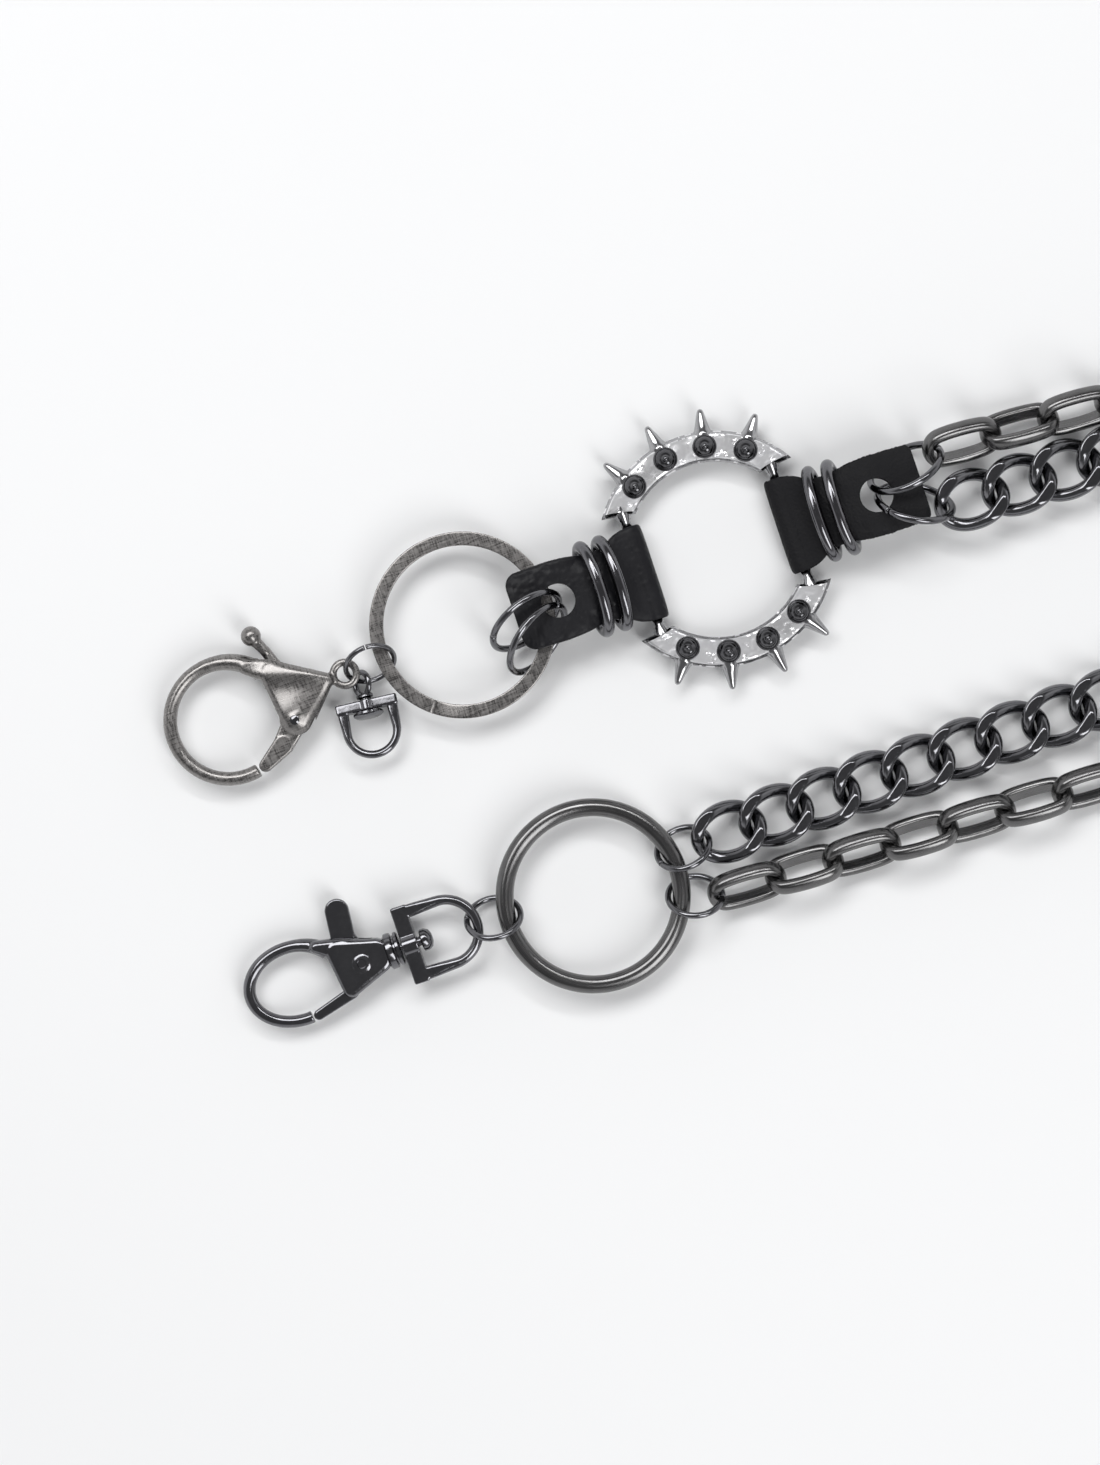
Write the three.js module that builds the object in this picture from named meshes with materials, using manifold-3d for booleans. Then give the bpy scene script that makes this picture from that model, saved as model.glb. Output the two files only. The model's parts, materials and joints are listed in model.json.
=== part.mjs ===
// Double strand jeans chain: a curb chain and a cable chain side by side, doubled back in a loop.
// One end carries a small swivel clasp on a wire ring; the other a spiked ring between two folded
// leather straps, a flat key ring, a large clasp and a spare swivel. Millimetres, +Z up.
import * as THREE from "three";
import { mergeVertices } from "three/addons/utils/BufferGeometryUtils.js";
import { ConvexGeometry } from "three/addons/geometries/ConvexGeometry.js";
import Module from "manifold-3d";

const wasm = await Module();
wasm.setup();

// ---------------------------------------------------------------- driving dimensions
const play = 0.3; // free gap wherever one piece hooks through or lies round another

const lowerHeading = 199; // directions in degrees from +X, anticlockwise
const upperHeading = 18.3;
const headings = {
  lowerJump: 192.5,
  curbRing: 28,
  curbRingPull: 24,
  curbPull: 20,
  cableRing: 0,
  cableRingPull: 4,
  chainRingCable: 33,
  chainRingCurb: -6,
  strapRing1: 220,
  strapRing2: 235,
  flatRing: 194,
  claspRing: 202.5,
  largeClasp: 201.7,
};

const bigRing = { radius: 16.6, wire: 1.7, x: 8.1, y: -30.6 };
const lowerJump = { radius: 5.1, wire: 0.6, lean: 46 };
const strapJump = { radius: 7.4, wire: 0.65, lean: 65 };
const chainJump = { radius: 7.1, wire: 0.7, lean: 60 };
const claspJump = { radius: 4.7, wire: 0.5, lean: 50 };

const flatRing = { radius: 16.2, width: 2.6, strip: 0.56, turns: 2, stepsPerTurn: 36 };

const curb = { pitch: 9.4, wire: 1.25, halfWidth: 4.6, twist: 1.6, flat: 2.35 };
const cable = { pitch: 11.2, radial: 1.9, axial: 3.0, outerWidth: 9, lean: 45 };
const strandReach = 190; // from the ring centre to the middle of the loop
const curbLoop = 28;
const cableLoop = 46;
const viewReach = 112; // how far the strands run straight before they open into the loop
const settleLinks = 5; // links over which a strand comes down from its ring to the table
const lowerCurbLinks = 9;
const lowerCableLinks = 7;
const upperCurbLinks = 4;
const upperCableLinks = 4;

const spiked = { x: 31.2, y: 34.4, outer: 22.2, inner: 16.5, thick: 3.0, barSpan: 29.3, bar: 1.0 };
const crescentHalf = { outer: 57.5, inner: 48 }; // how far each crescent reaches round, in degrees
const spike = { length: 4.9, base: 1.5, tip: 0.45, spacing: 23, rooted: 0.6 };
const stud = { length: 2.4, base: 2.25, tip: 0.7, rooted: 0.4 };
const barHeight = 3.0;

const strap = {
  leather: 1.3,
  foldHalf: 9.25,
  waistHalf: 6.1,
  holeHalf: 7.6,
  endHalf: 7.3,
  hole: 16.6,
  end: 25.2,
  holeRadius: 3.3,
  rise: 5.3,
};
const band = { wire: 1.15, halfHeight: 4.4, room: 1.0, lean: 16, first: 6.0, step: 3.7 };

const largeClasp = {
  neck: [3.4, 0, 1.5],
  pivot: [11.7, 4.6, 3.4],
  root: [15.6, -7.0, 1.7],
  shoulder: [12.2, -5.6, 2.6],
  hook: { centre: 23.6, long: 10.95, wide: 10.95, wire: 1.25, from: 218, to: 460 },
  gate: [[11.7, 4.6, 2.3], [16.2, 8.6, 1.25], [20.2, 10.3, 0.85]],
  arm: [[11.7, 4.6, 2.3], [11.0, -5.8, 0.85], [13.5, -12.2, 0.8]],
  slot: [[11.7, 4.6, 3.7], [6.9, -2.6, 0.8], [5.6, -12.5, 1.0], [12.9, -12.5, 1.0]],
  knob: [13.8, -13.1, 1.9],
  thick: 5.4,
  slotThick: 3.0,
  leverThick: 1.5,
  pin: 0.7,
};
const smallClasp = {
  neck: [4.2, 0, 2.0],
  pivot: [9.6, 0.4, 3.0],
  root: [15.2, -4.3, 1.4],
  shoulder: [11.2, 3.6, 1.6],
  hook: { centre: 22.8, long: 8.95, wide: 6.95, wire: 1.1, from: 215, to: 457 },
  gate: [[9.6, 0.4, 2.2], [13.5, 5.4, 1.1], [20.0, 6.8, 0.8]],
  arm: [[9.6, 0.4, 2.2], [11.0, -5.6, 1.1], [11.2, -7.2, 1.4]],
  slot: [[9.6, 0.4, 2.8], [6.8, -7.5, 1.0], [12.4, -7.5, 1.4], [13.9, 5.6, 1.8]],
  tab: [[11.7, -7.8, 2.2], [11.1, -10.4, 2.2]],
  thick: 4.2,
  slotThick: 2.4,
  leverThick: 1.1,
  pin: 1.2,
  bore: 0.7,
};
const claspEye = { radius: 2.2, wire: 0.6 };
const dLoop = { length: 13.2, halfWidth: 6.1, wire: 0.95, barThick: 3.0 };
const stem = { radius: 0.9, head: 2.0, headLength: 1.3, rooted: 0.6 };
const swivel = { heading: -77, climb: 10, roll: 51, eye: 2.2, wire: 0.55, onRing: 52, neck: 4.2 };
const swivelStem = { radius: 0.9, head: 2.9, headLength: 1.2 };
const bail = { length: 9.5, halfWidth: 4.7, wire: 0.75, barThick: 2.0 };

// ---------------------------------------------------------------- finishes
const gunmetal = { color: 0x3a3a3d, roughness: 0.25, metalness: 1 };
const satinGunmetal = { color: 0x45423f, roughness: 0.4, metalness: 1 };
const chromeDark = { color: 0x8d8d92, roughness: 0.2, metalness: 1 };
const blackLeather = { color: 0x15151a, roughness: 0.7, metalness: 0 };
const springSteel = { color: 0x8a8c90, roughness: 0.35, metalness: 1 };

const radians = THREE.MathUtils.degToRad;
const model = new THREE.Group();

// ---------------------------------------------------------------- solids and meshes
function solidOf(geometry) {
  const plain = geometry.clone();
  plain.deleteAttribute("uv");
  plain.deleteAttribute("normal");
  const merged = mergeVertices(plain, 1e-4);
  const vertProperties = Float32Array.from(merged.attributes.position.array);
  const triVerts = Uint32Array.from(merged.index.array);
  return new wasm.Manifold(new wasm.Mesh({ numProp: 3, vertProperties, triVerts }));
}

function geometryOf(solid) {
  const mesh = solid.getMesh();
  const geometry = new THREE.BufferGeometry();
  geometry.setAttribute("position", new THREE.BufferAttribute(mesh.vertProperties, 3));
  geometry.setIndex(new THREE.BufferAttribute(mesh.triVerts, 1));
  geometry.computeVertexNormals();
  return geometry;
}

function joined(geometries) {
  return geometries.map(solidOf).reduce((sum, solid) => sum.add(solid));
}

function addMesh(parent, name, geometry, finish) {
  const mesh = new THREE.Mesh(geometry, new THREE.MeshStandardMaterial(finish));
  mesh.name = name;
  mesh.rotation.order = "ZYX";
  parent.add(mesh);
  return mesh;
}

// Turns an object to a heading, a climb and a roll about its own length, all in degrees.
function pose(object, position, heading, climb = 0, roll = 0) {
  object.rotation.order = "ZYX";
  object.position.copy(position);
  object.rotation.set(radians(roll), -radians(climb), radians(heading));
  return object;
}

function addFrame(position, heading, climb = 0) {
  const frame = new THREE.Group();
  model.add(pose(frame, position, heading, climb));
  return frame;
}

function direction(heading, climb = 0) {
  const flat = Math.cos(radians(climb));
  const x = flat * Math.cos(radians(heading));
  const y = flat * Math.sin(radians(heading));
  return new THREE.Vector3(x, y, Math.sin(radians(climb)));
}

function along(start, heading, distance, climb = 0) {
  return start.clone().addScaledVector(direction(heading, climb), distance);
}

function climbFor(rise, length) {
  return THREE.MathUtils.radToDeg(Math.asin(rise / length));
}

// A closed loop of wire: path(turn) gives its centreline, section(turn) its radial and axial reach.
function loopOf(path, section, steps, sides) {
  const loop = new THREE.TorusGeometry(2, 1, sides, steps);
  const places = loop.attributes.position;
  const uv = loop.attributes.uv;
  const up = new THREE.Vector3(0, 0, 1);
  for (let i = 0; i < places.count; i += 1) {
    const turn = uv.getX(i) * 2 * Math.PI;
    const centre = path(turn);
    const ahead = path(turn + 1e-3).sub(path(turn - 1e-3)).normalize();
    const out = ahead.clone().cross(up).normalize();
    const rise = out.clone().cross(ahead);
    const [radial, axial] = section(uv.getY(i) * 2 * Math.PI);
    centre.addScaledVector(out, radial).addScaledVector(rise, axial);
    places.setXYZ(i, centre.x, centre.y, centre.z);
  }
  return mergeVertices(withoutSeam(loop), 1e-4);
}

function withoutSeam(geometry) {
  geometry.deleteAttribute("uv");
  geometry.deleteAttribute("normal");
  return geometry;
}

function roundSection(radius) {
  return (turn) => [radius * Math.cos(turn), radius * Math.sin(turn)];
}

function wireRing(radius, wire, steps = 28, sides = 6) {
  return new THREE.TorusGeometry(radius, wire, sides, steps);
}

// Bends a straight bar, modelled along Y from -0.5 to 0.5, onto a centreline.
function bentBar(bar, path, up = new THREE.Vector3(0, 0, 1)) {
  const places = bar.attributes.position;
  for (let i = 0; i < places.count; i += 1) {
    const share = places.getY(i) + 0.5;
    const centre = path(share);
    const ahead = path(share + 1e-3).sub(path(share - 1e-3)).normalize();
    const out = ahead.clone().cross(up).normalize();
    const rise = out.clone().cross(ahead);
    centre.addScaledVector(out, places.getX(i)).addScaledVector(rise, places.getZ(i));
    places.setXYZ(i, centre.x, centre.y, centre.z);
  }
  return withoutSeam(bar);
}

function disc([x, y, radius], thick, middle = 0, sides = 12) {
  const cylinder = new THREE.CylinderGeometry(radius, radius, thick, sides);
  cylinder.rotateX(Math.PI / 2);
  return cylinder.translate(x, y, middle);
}

// The plate that a belt drawn tight round a row of discs encloses.
function hullOf(discs, thick, middle = 0) {
  const points = [];
  for (const entry of discs) {
    const places = disc(entry, thick, middle).attributes.position;
    for (let i = 0; i < places.count; i += 1) {
      points.push(new THREE.Vector3().fromBufferAttribute(places, i));
    }
  }
  return new ConvexGeometry(points);
}

function plate(outline, thick) {
  const options = { depth: thick, bevelEnabled: false, curveSegments: 24 };
  return new THREE.ExtrudeGeometry(outline, options).translate(0, 0, -thick / 2);
}

function bar(radius, from, to, sides = 8) {
  const length = from.distanceTo(to);
  const cylinder = new THREE.CylinderGeometry(radius, radius, length, sides);
  const turn = new THREE.Quaternion();
  turn.setFromUnitVectors(new THREE.Vector3(0, 1, 0), to.clone().sub(from).normalize());
  cylinder.applyQuaternion(turn);
  const middle = from.clone().lerp(to, 0.5);
  return cylinder.translate(middle.x, middle.y, middle.z);
}

// ---------------------------------------------------------------- chain links
function curbLink(halfLength, steps, sides) {
  const path = (turn) => {
    const z = -curb.twist * Math.sin(2 * turn);
    return new THREE.Vector3(halfLength * Math.cos(turn), curb.halfWidth * Math.sin(turn), z);
  };
  const link = loopOf(path, roundSection(curb.wire), steps, sides);
  const places = link.attributes.position;
  for (let i = 0; i < places.count; i += 1) {
    places.setZ(i, THREE.MathUtils.clamp(places.getZ(i), -curb.flat, curb.flat));
  }
  return link;
}

function cableLink(halfLength, steps, sides) {
  const endRadius = (cable.outerWidth - cable.radial) / 2;
  const straight = halfLength - endRadius;
  const endShare = 2.2; // how soon the straight side gives way to the round end
  const path = (turn) => {
    const side = THREE.MathUtils.clamp(endShare * Math.cos(turn), -1, 1);
    return new THREE.Vector3(endRadius * Math.cos(turn) + straight * side, endRadius * Math.sin(turn), 0);
  };
  const section = (turn) => [cable.radial / 2 * Math.cos(turn), cable.axial / 2 * Math.sin(turn)];
  return loopOf(path, section, steps, sides);
}

function hookReach(pitch, wire, gap) {
  return (pitch + wire + gap) / 2;
}

// ---------------------------------------------------------------- strand route
// Out from the start, round a loop like a belt round a pulley, and straight back to the end.
function strandRoute(start, end, strand, extension) {
  const { pitch, loop, rest, lower, upper } = strand;
  const heading = upperHeading;
  const lag = end.clone().sub(start).dot(direction(heading));
  const settle = settleLinks * pitch;
  const centre = along(start.clone().lerp(end, 0.5), heading, extension);
  const points = [start];
  points.push(along(start, lower, settle).setZ(rest));
  points.push(along(start, lower, viewReach).setZ(rest));
  const arcSteps = 48;
  for (let i = 0; i <= arcSteps; i += 1) {
    points.push(along(centre, heading - 90 + 180 * i / arcSteps, loop).setZ(rest));
  }
  points.push(along(end, upper, viewReach - lag).setZ(rest));
  points.push(end);
  return points;
}

// Steps along a route in straight links of one pitch: the hook points, and what is left over.
function march(route, pitch) {
  const hooks = [route[0].clone()];
  let place = route[0];
  for (let next = 1; next < route.length; next += 1) {
    while (route[next].distanceTo(hooks.at(-1)) >= pitch) {
      place = crossing(place, route[next], hooks.at(-1), pitch);
      hooks.push(place);
    }
    place = route[next];
  }
  return { hooks, left: place.distanceTo(hooks.at(-1)) };
}

function crossing(from, to, centre, radius) {
  let near = 0;
  let far = 1;
  for (let i = 0; i < 40; i += 1) {
    const middle = (near + far) / 2;
    if (from.clone().lerp(to, middle).distanceTo(centre) < radius) near = middle;
    else far = middle;
  }
  return from.clone().lerp(to, (near + far) / 2);
}

// Finds the loop extension at which the strand is a whole number of links.
function fittedStrand(start, end, strand) {
  const { pitch, linkGroup } = strand;
  const routeFor = (extension) => strandRoute(start, end, strand, extension);
  const measure = (extension) => {
    const walk = march(routeFor(extension), pitch);
    return walk.hooks.length + walk.left / pitch;
  };
  const target = Math.ceil((measure(strandReach) + 1) / linkGroup) * linkGroup - 1;
  let low = strandReach;
  let high = strandReach + pitch * linkGroup;
  for (let i = 0; i < 40; i += 1) {
    const middle = (low + high) / 2;
    if (measure(middle) < target) low = middle;
    else high = middle;
  }
  const route = routeFor(low);
  const { hooks, left } = march(route, pitch);
  if (left > pitch / 2) hooks.push(route.at(-1));
  return hooks;
}

function linkPose(object, hooks, index, roll) {
  const pull = hooks[index + 1].clone().sub(hooks[index]);
  const heading = THREE.MathUtils.radToDeg(Math.atan2(pull.y, pull.x));
  const climb = climbFor(pull.z, pull.length());
  const middle = hooks[index].clone().lerp(hooks[index + 1], 0.5);
  return pose(object, middle, heading, climb, roll);
}

// The first and last links are pieces of their own; the rest are welded end to end in one run.
function addStrand(name, hooks, makeLink, reach, rollFor, firstCount, lastCount, finish) {
  const links = hooks.length - 1;
  const apart = (index) => index < firstCount || index >= links - lastCount;
  const weld = -0.15; // links of the run sink this far into each other
  const run = [];
  for (let index = 0; index < links; index += 1) {
    if (apart(index)) {
      const fromEnd = links - index;
      const atStart = index < firstCount;
      const label = atStart ? `lower_${name}_link_${index + 1}` : `upper_${name}_link_${fromEnd}`;
      const mesh = addMesh(model, label, makeLink(reach(play), 14, 5), finish);
      linkPose(mesh, hooks, index, rollFor(index));
      continue;
    }
    const piece = new THREE.Object3D();
    linkPose(piece, hooks, index, rollFor(index));
    piece.updateMatrix();
    const loose = (apart(index + 1) ? 1 : 0) - (apart(index - 1) ? 1 : 0);
    const gap = loose === 0 ? weld : (play + weld) / 2;
    const link = makeLink(reach(gap), 10, 4).translate(loose * (play - weld) / 4, 0, 0);
    run.push(link.applyMatrix4(piece.matrix));
  }
  addMesh(model, `${name}_chain_run`, geometryOf(joined(run)), finish);
}

// ---------------------------------------------------------------- clasps
// A clasp lies along its own +X from its eye or swivel to the far side of its hook.
function hookPath(hook) {
  return (share) => {
    const turn = radians(hook.from + (hook.to - hook.from) * share);
    return new THREE.Vector3(hook.centre + hook.long * Math.cos(turn), hook.wide * Math.sin(turn), 0);
  };
}

function claspBody(size, neckPiece) {
  const straight = new THREE.CylinderGeometry(size.hook.wire, size.hook.wire, 1, 7, 22);
  const hook = bentBar(straight, hookPath(size.hook));
  const shell = solidOf(hullOf([size.neck, size.pivot, size.shoulder], size.thick));
  const slot = solidOf(hullOf(size.slot, size.slotThick));
  const post = solidOf(disc(size.root, size.thick));
  const rim = solidOf(hullOf([size.shoulder, size.root], size.thick)).subtract(slot);
  const [pivotX, pivotY] = size.pivot;
  const pinHole = solidOf(disc([pivotX, pivotY, size.pin + play], size.thick + 1));
  const lobes = shell.subtract(slot).add(rim).add(post.subtract(slot));
  return geometryOf(lobes.add(solidOf(hook)).add(solidOf(neckPiece)).subtract(pinHole));
}

// The lever is modelled about its own pin, so it turns about its origin.
function claspLever(size, thumbPiece) {
  const [pivotX, pivotY] = size.pivot;
  const low = -size.slotThick / 2 + play / 2 + size.leverThick / 2;
  const pieces = [];
  for (const chain of [size.gate, size.arm]) {
    for (let i = 1; i < chain.length; i += 1) {
      pieces.push(hullOf([chain[i - 1], chain[i]], size.leverThick, low));
    }
  }
  pieces.push(thumbPiece.translate(0, 0, low));
  const hole = disc([pivotX, pivotY, size.pin + play], size.thick);
  return geometryOf(joined(pieces).subtract(solidOf(hole)).translate(-pivotX, -pivotY, 0));
}

function claspSpring(size) {
  const coilWire = 0.16;
  const coilRadius = size.pin + play + coilWire + 0.25;
  const bottom = -size.slotThick / 2 + play + size.leverThick + coilWire;
  const height = size.slotThick / 2 - play / 2 - coilWire - bottom;
  const coils = 1.8;
  const path = (share) => {
    const turn = share * coils * 2 * Math.PI;
    const z = bottom + height * share;
    return new THREE.Vector3(coilRadius * Math.cos(turn), coilRadius * Math.sin(turn), z);
  };
  return bentBar(new THREE.CylinderGeometry(coilWire, coilWire, 1, 4, 22), path);
}

function addClasp(name, frame, size, neckPiece, thumbPiece, finish) {
  addMesh(frame, `${name}_body`, claspBody(size, neckPiece), finish);
  const [pivotX, pivotY] = size.pivot;
  const pivotPoint = new THREE.Vector3(pivotX, pivotY, 0);
  pose(addMesh(frame, `${name}_lever`, claspLever(size, thumbPiece), finish), pivotPoint, 0);
  pose(addMesh(frame, `${name}_lever_spring`, claspSpring(size), springSteel), pivotPoint, 0);
  pose(addMesh(frame, `${name}_rivet`, claspRivet(size), finish), pivotPoint, 0);
}

function claspRivet(size) {
  const rivet = solidOf(disc([0, 0, size.pin], size.thick));
  if (!size.bore) return geometryOf(rivet);
  return geometryOf(rivet.subtract(solidOf(disc([0, 0, size.bore], size.thick + 1))));
}

// ---------------------------------------------------------------- wire ring and lower end
const jumpHeight = lowerJump.radius * Math.sin(radians(lowerJump.lean)) + lowerJump.wire;
const ringCentre = new THREE.Vector3(bigRing.x, bigRing.y, jumpHeight);
const ringToJump = bigRing.radius - bigRing.wire - lowerJump.wire - play + lowerJump.radius;

function addJumpRing(name, size, centre, heading, climb, lean) {
  const mesh = addMesh(model, name, wireRing(size.radius, size.wire), gunmetal);
  pose(mesh, centre, heading, climb, lean);
}

const bigRingShape = wireRing(bigRing.radius, bigRing.wire, 40, 8);
const bigRingMesh = addMesh(model, "wire_ring", bigRingShape, satinGunmetal);
bigRingMesh.position.copy(ringCentre);

const lowerJumpCentre = along(ringCentre, headings.lowerJump, ringToJump);
addJumpRing("lower_jump_ring", lowerJump, lowerJumpCentre, headings.lowerJump, 0, lowerJump.lean);

const claspRest = smallClasp.thick / 2;
const jumpToTip = lowerJump.radius - lowerJump.wire - play - dLoop.wire;
const dLoopTip = along(lowerJumpCentre, headings.lowerJump, jumpToTip);
const smallReach = dLoop.length + smallClasp.hook.centre + smallClasp.hook.long;
const smallClimb = -climbFor(jumpHeight - claspRest, smallReach);
const dLoopBar = along(dLoopTip, lowerHeading, dLoop.length, smallClimb);
const smallFrame = addFrame(dLoopBar, lowerHeading, smallClimb);

// A round-ended loop reaching along +X from a crossbar that a stem turns in.
function crossbarLoop(size, stemRadius) {
  const { length, halfWidth } = size;
  const legs = length - halfWidth;
  const arc = Math.PI * halfWidth;
  const path = (share) => {
    const travel = share * (arc + 2 * legs) - legs;
    const beyondArc = Math.min(travel, 0) + Math.min(arc - travel, 0);
    const turn = THREE.MathUtils.clamp(travel / halfWidth, 0, Math.PI) - Math.PI / 2;
    return new THREE.Vector3(legs + beyondArc + halfWidth * Math.cos(turn), -halfWidth * Math.sin(turn), 0);
  };
  const loop = bentBar(new THREE.CylinderGeometry(size.wire, size.wire, 1, 6, 20), path);
  const width = 2 * (size.halfWidth + size.wire);
  const crossbar = new THREE.BoxGeometry(size.barThick, width, 2 * (size.wire + play));
  const hole = new THREE.CylinderGeometry(stemRadius + play, stemRadius + play, size.barThick + 1, 12);
  hole.rotateZ(Math.PI / 2);
  return geometryOf(joined([loop, crossbar]).subtract(solidOf(hole)));
}

// A stem along X from the clasp side to its domed head inside the loop.
function turningStem({ radius, head, headLength }, from, headAt) {
  const points = [
    new THREE.Vector2(0, from),
    new THREE.Vector2(radius, from),
    new THREE.Vector2(radius, headAt),
    new THREE.Vector2(head, headAt + 0.1),
    new THREE.Vector2(head * 0.75, headAt + headLength * 0.8),
    new THREE.Vector2(0, headAt + headLength),
  ];
  return new THREE.LatheGeometry(points, 12).rotateZ(-Math.PI / 2);
}

const dLoopMesh = addMesh(smallFrame, "small_clasp_d_loop", crossbarLoop(dLoop, stem.radius), gunmetal);
pose(dLoopMesh, new THREE.Vector3(0, 0, 0), 180);
const stemStart = smallClasp.neck[0] - smallClasp.neck[2];
const stemEnd = dLoop.barThick / 2 + play;
const smallStem = turningStem(stem, -stemStart - stem.rooted, stemEnd).rotateZ(Math.PI);
const smallTab = hullOf(smallClasp.tab, smallClasp.leverThick);
addClasp("small_clasp", smallFrame, smallClasp, smallStem, smallTab, gunmetal);

// ---------------------------------------------------------------- spiked ring and straps
const ringPlace = new THREE.Vector3(spiked.x, spiked.y, barHeight);
const branch = addFrame(ringPlace, upperHeading);

function coneAt(size, foot, heading, climb) {
  const height = size.length;
  const cone = new THREE.CylinderGeometry(size.tip, size.base, height, 8).translate(0, height / 2, 0);
  const turn = new THREE.Quaternion();
  turn.setFromUnitVectors(new THREE.Vector3(0, 1, 0), direction(heading, climb));
  return cone.applyQuaternion(turn).translate(foot.x, foot.y, foot.z);
}

function crescent(middle) {
  const outerHalf = radians(crescentHalf.outer);
  const innerHalf = radians(crescentHalf.inner);
  const turn = radians(middle);
  const outline = new THREE.Shape();
  outline.absarc(0, 0, spiked.outer, turn - outerHalf, turn + outerHalf, false);
  outline.absarc(0, 0, spiked.inner, turn + innerHalf, turn - innerHalf, true);
  const pieces = [plate(outline, spiked.thick)];
  const studRing = (spiked.outer + spiked.inner) / 2;
  for (const step of [-1.5, -0.5, 0.5, 1.5]) {
    const heading = middle + step * spike.spacing;
    const foot = direction(heading).multiplyScalar(spiked.outer - spike.rooted);
    pieces.push(coneAt(spike, foot, heading, 0));
    const seat = direction(heading).multiplyScalar(studRing).setZ(spiked.thick / 2 - stud.rooted);
    pieces.push(coneAt(stud, seat, 0, 90));
  }
  return pieces;
}

function spikedRing() {
  const pieces = [...crescent(90), ...crescent(270)];
  const reach = 12;
  for (const x of [-spiked.barSpan / 2, spiked.barSpan / 2]) {
    pieces.push(bar(spiked.bar, new THREE.Vector3(x, -reach, 0), new THREE.Vector3(x, reach, 0)));
  }
  return geometryOf(joined(pieces));
}

addMesh(branch, "spiked_ring", spikedRing(), chromeDark);

const strapCurve = new THREE.CatmullRomCurve3([
  new THREE.Vector3(0, 0, 0),
  new THREE.Vector3(band.first + band.step / 2, 0, strap.rise * 0.62),
  new THREE.Vector3(strap.hole, 0, strap.rise),
  new THREE.Vector3(strap.end, 0, strap.rise),
]);

// The strap runs along its own +X from the bar that it folds round, rising to its punched end.
function foldedStrap() {
  const steps = 14;
  const upper = [];
  const lower = [];
  for (const place of strapCurve.getPoints(steps)) {
    upper.push(new THREE.Vector2(place.x, place.z + strap.leather));
    lower.unshift(new THREE.Vector2(place.x, place.z - strap.leather));
  }
  const side = new THREE.Shape([...lower, ...upper]);
  const width = 2 * strap.foldHalf;
  const slab = plate(side, width).rotateX(Math.PI / 2);
  const eyeRadius = spiked.bar + play + strap.leather;
  const eye = new THREE.CylinderGeometry(eyeRadius, eyeRadius, width, 14);
  const barHole = new THREE.CylinderGeometry(spiked.bar + play, spiked.bar + play, width + 1, 10);
  const plan = solidOf(plate(strapPlan(eyeRadius), 40));
  const hole = solidOf(disc([strap.hole, 0, strap.holeRadius], 40));
  return geometryOf(joined([slab, eye]).intersect(plan).subtract(solidOf(barHole)).subtract(hole));
}

function strapPlan(eyeRadius) {
  const corner = 2.6;
  const waistFrom = band.first - band.wire - 1;
  const waistTo = band.first + band.step + band.wire + 1;
  const half = [
    [-eyeRadius - 1, strap.foldHalf],
    [waistFrom - 2.2, strap.foldHalf],
    [waistFrom, strap.waistHalf],
    [waistTo, strap.waistHalf],
    [strap.hole, strap.holeHalf],
    [strap.end - corner, strap.endHalf],
    [strap.end, strap.endHalf - corner],
  ];
  const near = half.map(([x, y]) => new THREE.Vector2(x, -y));
  const far = half.map(([x, y]) => new THREE.Vector2(x, y)).reverse();
  return new THREE.Shape([...near, ...far]);
}

function bandRing() {
  const halfWidth = strap.waistHalf + band.room + band.wire;
  const path = (turn) => new THREE.Vector3(band.halfHeight * Math.cos(turn), halfWidth * Math.sin(turn), 0);
  return loopOf(path, roundSection(band.wire), 24, 6);
}

function addStrap(side, heading) {
  const barPlace = along(ringPlace, heading, spiked.barSpan / 2);
  const frame = addFrame(barPlace, heading);
  addMesh(frame, `${side}_strap`, foldedStrap(), blackLeather);
  [0, 1].forEach((index) => {
    const x = band.first + index * band.step;
    const z = heightOn(x);
    const mesh = addMesh(frame, `${side}_strap_band_${index + 1}`, bandRing(), gunmetal);
    pose(mesh, new THREE.Vector3(x, 0, z), 0, 90 + band.lean);
  });
  return along(barPlace, heading, strap.hole).setZ(barHeight + strap.rise);
}

// How high the strap's middle lies at a distance x from its bar.
function heightOn(x) {
  let near = 0;
  let far = 1;
  for (let i = 0; i < 30; i += 1) {
    const middle = (near + far) / 2;
    if (strapCurve.getPoint(middle).x < x) near = middle;
    else far = middle;
  }
  return strapCurve.getPoint(near).z;
}

const rightHole = addStrap("right", upperHeading);
const leftHole = addStrap("left", upperHeading + 180);

// ---------------------------------------------------------------- rings in the strap holes
// A leaning ring hangs from the strap at one side; its middle is as low as its lean allows.
function leaningHeight(size) {
  return size.radius * Math.sin(radians(size.lean)) + size.wire;
}

function holeRing(name, size, hole, heading, offset) {
  const height = leaningHeight(size);
  const drop = climbFor(height - hole.z, size.radius * 2);
  const pass = along(hole, upperHeading + 90, offset);
  const centre = along(pass, heading, size.radius).setZ(height);
  addJumpRing(name, size, centre, heading, drop, -size.lean);
  return { centre, drop, heading };
}

const holeOffset = 1.1;
const cableRingOffset = 1.4;
const curbRingOffset = -0.6;
const { chainRingCable, chainRingCurb } = headings;
const cableRing = holeRing("chain_ring_cable", chainJump, rightHole, chainRingCable, cableRingOffset);
const curbRing = holeRing("chain_ring_curb", chainJump, rightHole, chainRingCurb, curbRingOffset);
holeRing("strap_ring_1", strapJump, leftHole, headings.strapRing1, holeOffset);
holeRing("strap_ring_2", strapJump, leftHole, headings.strapRing2, -holeOffset);

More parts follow.
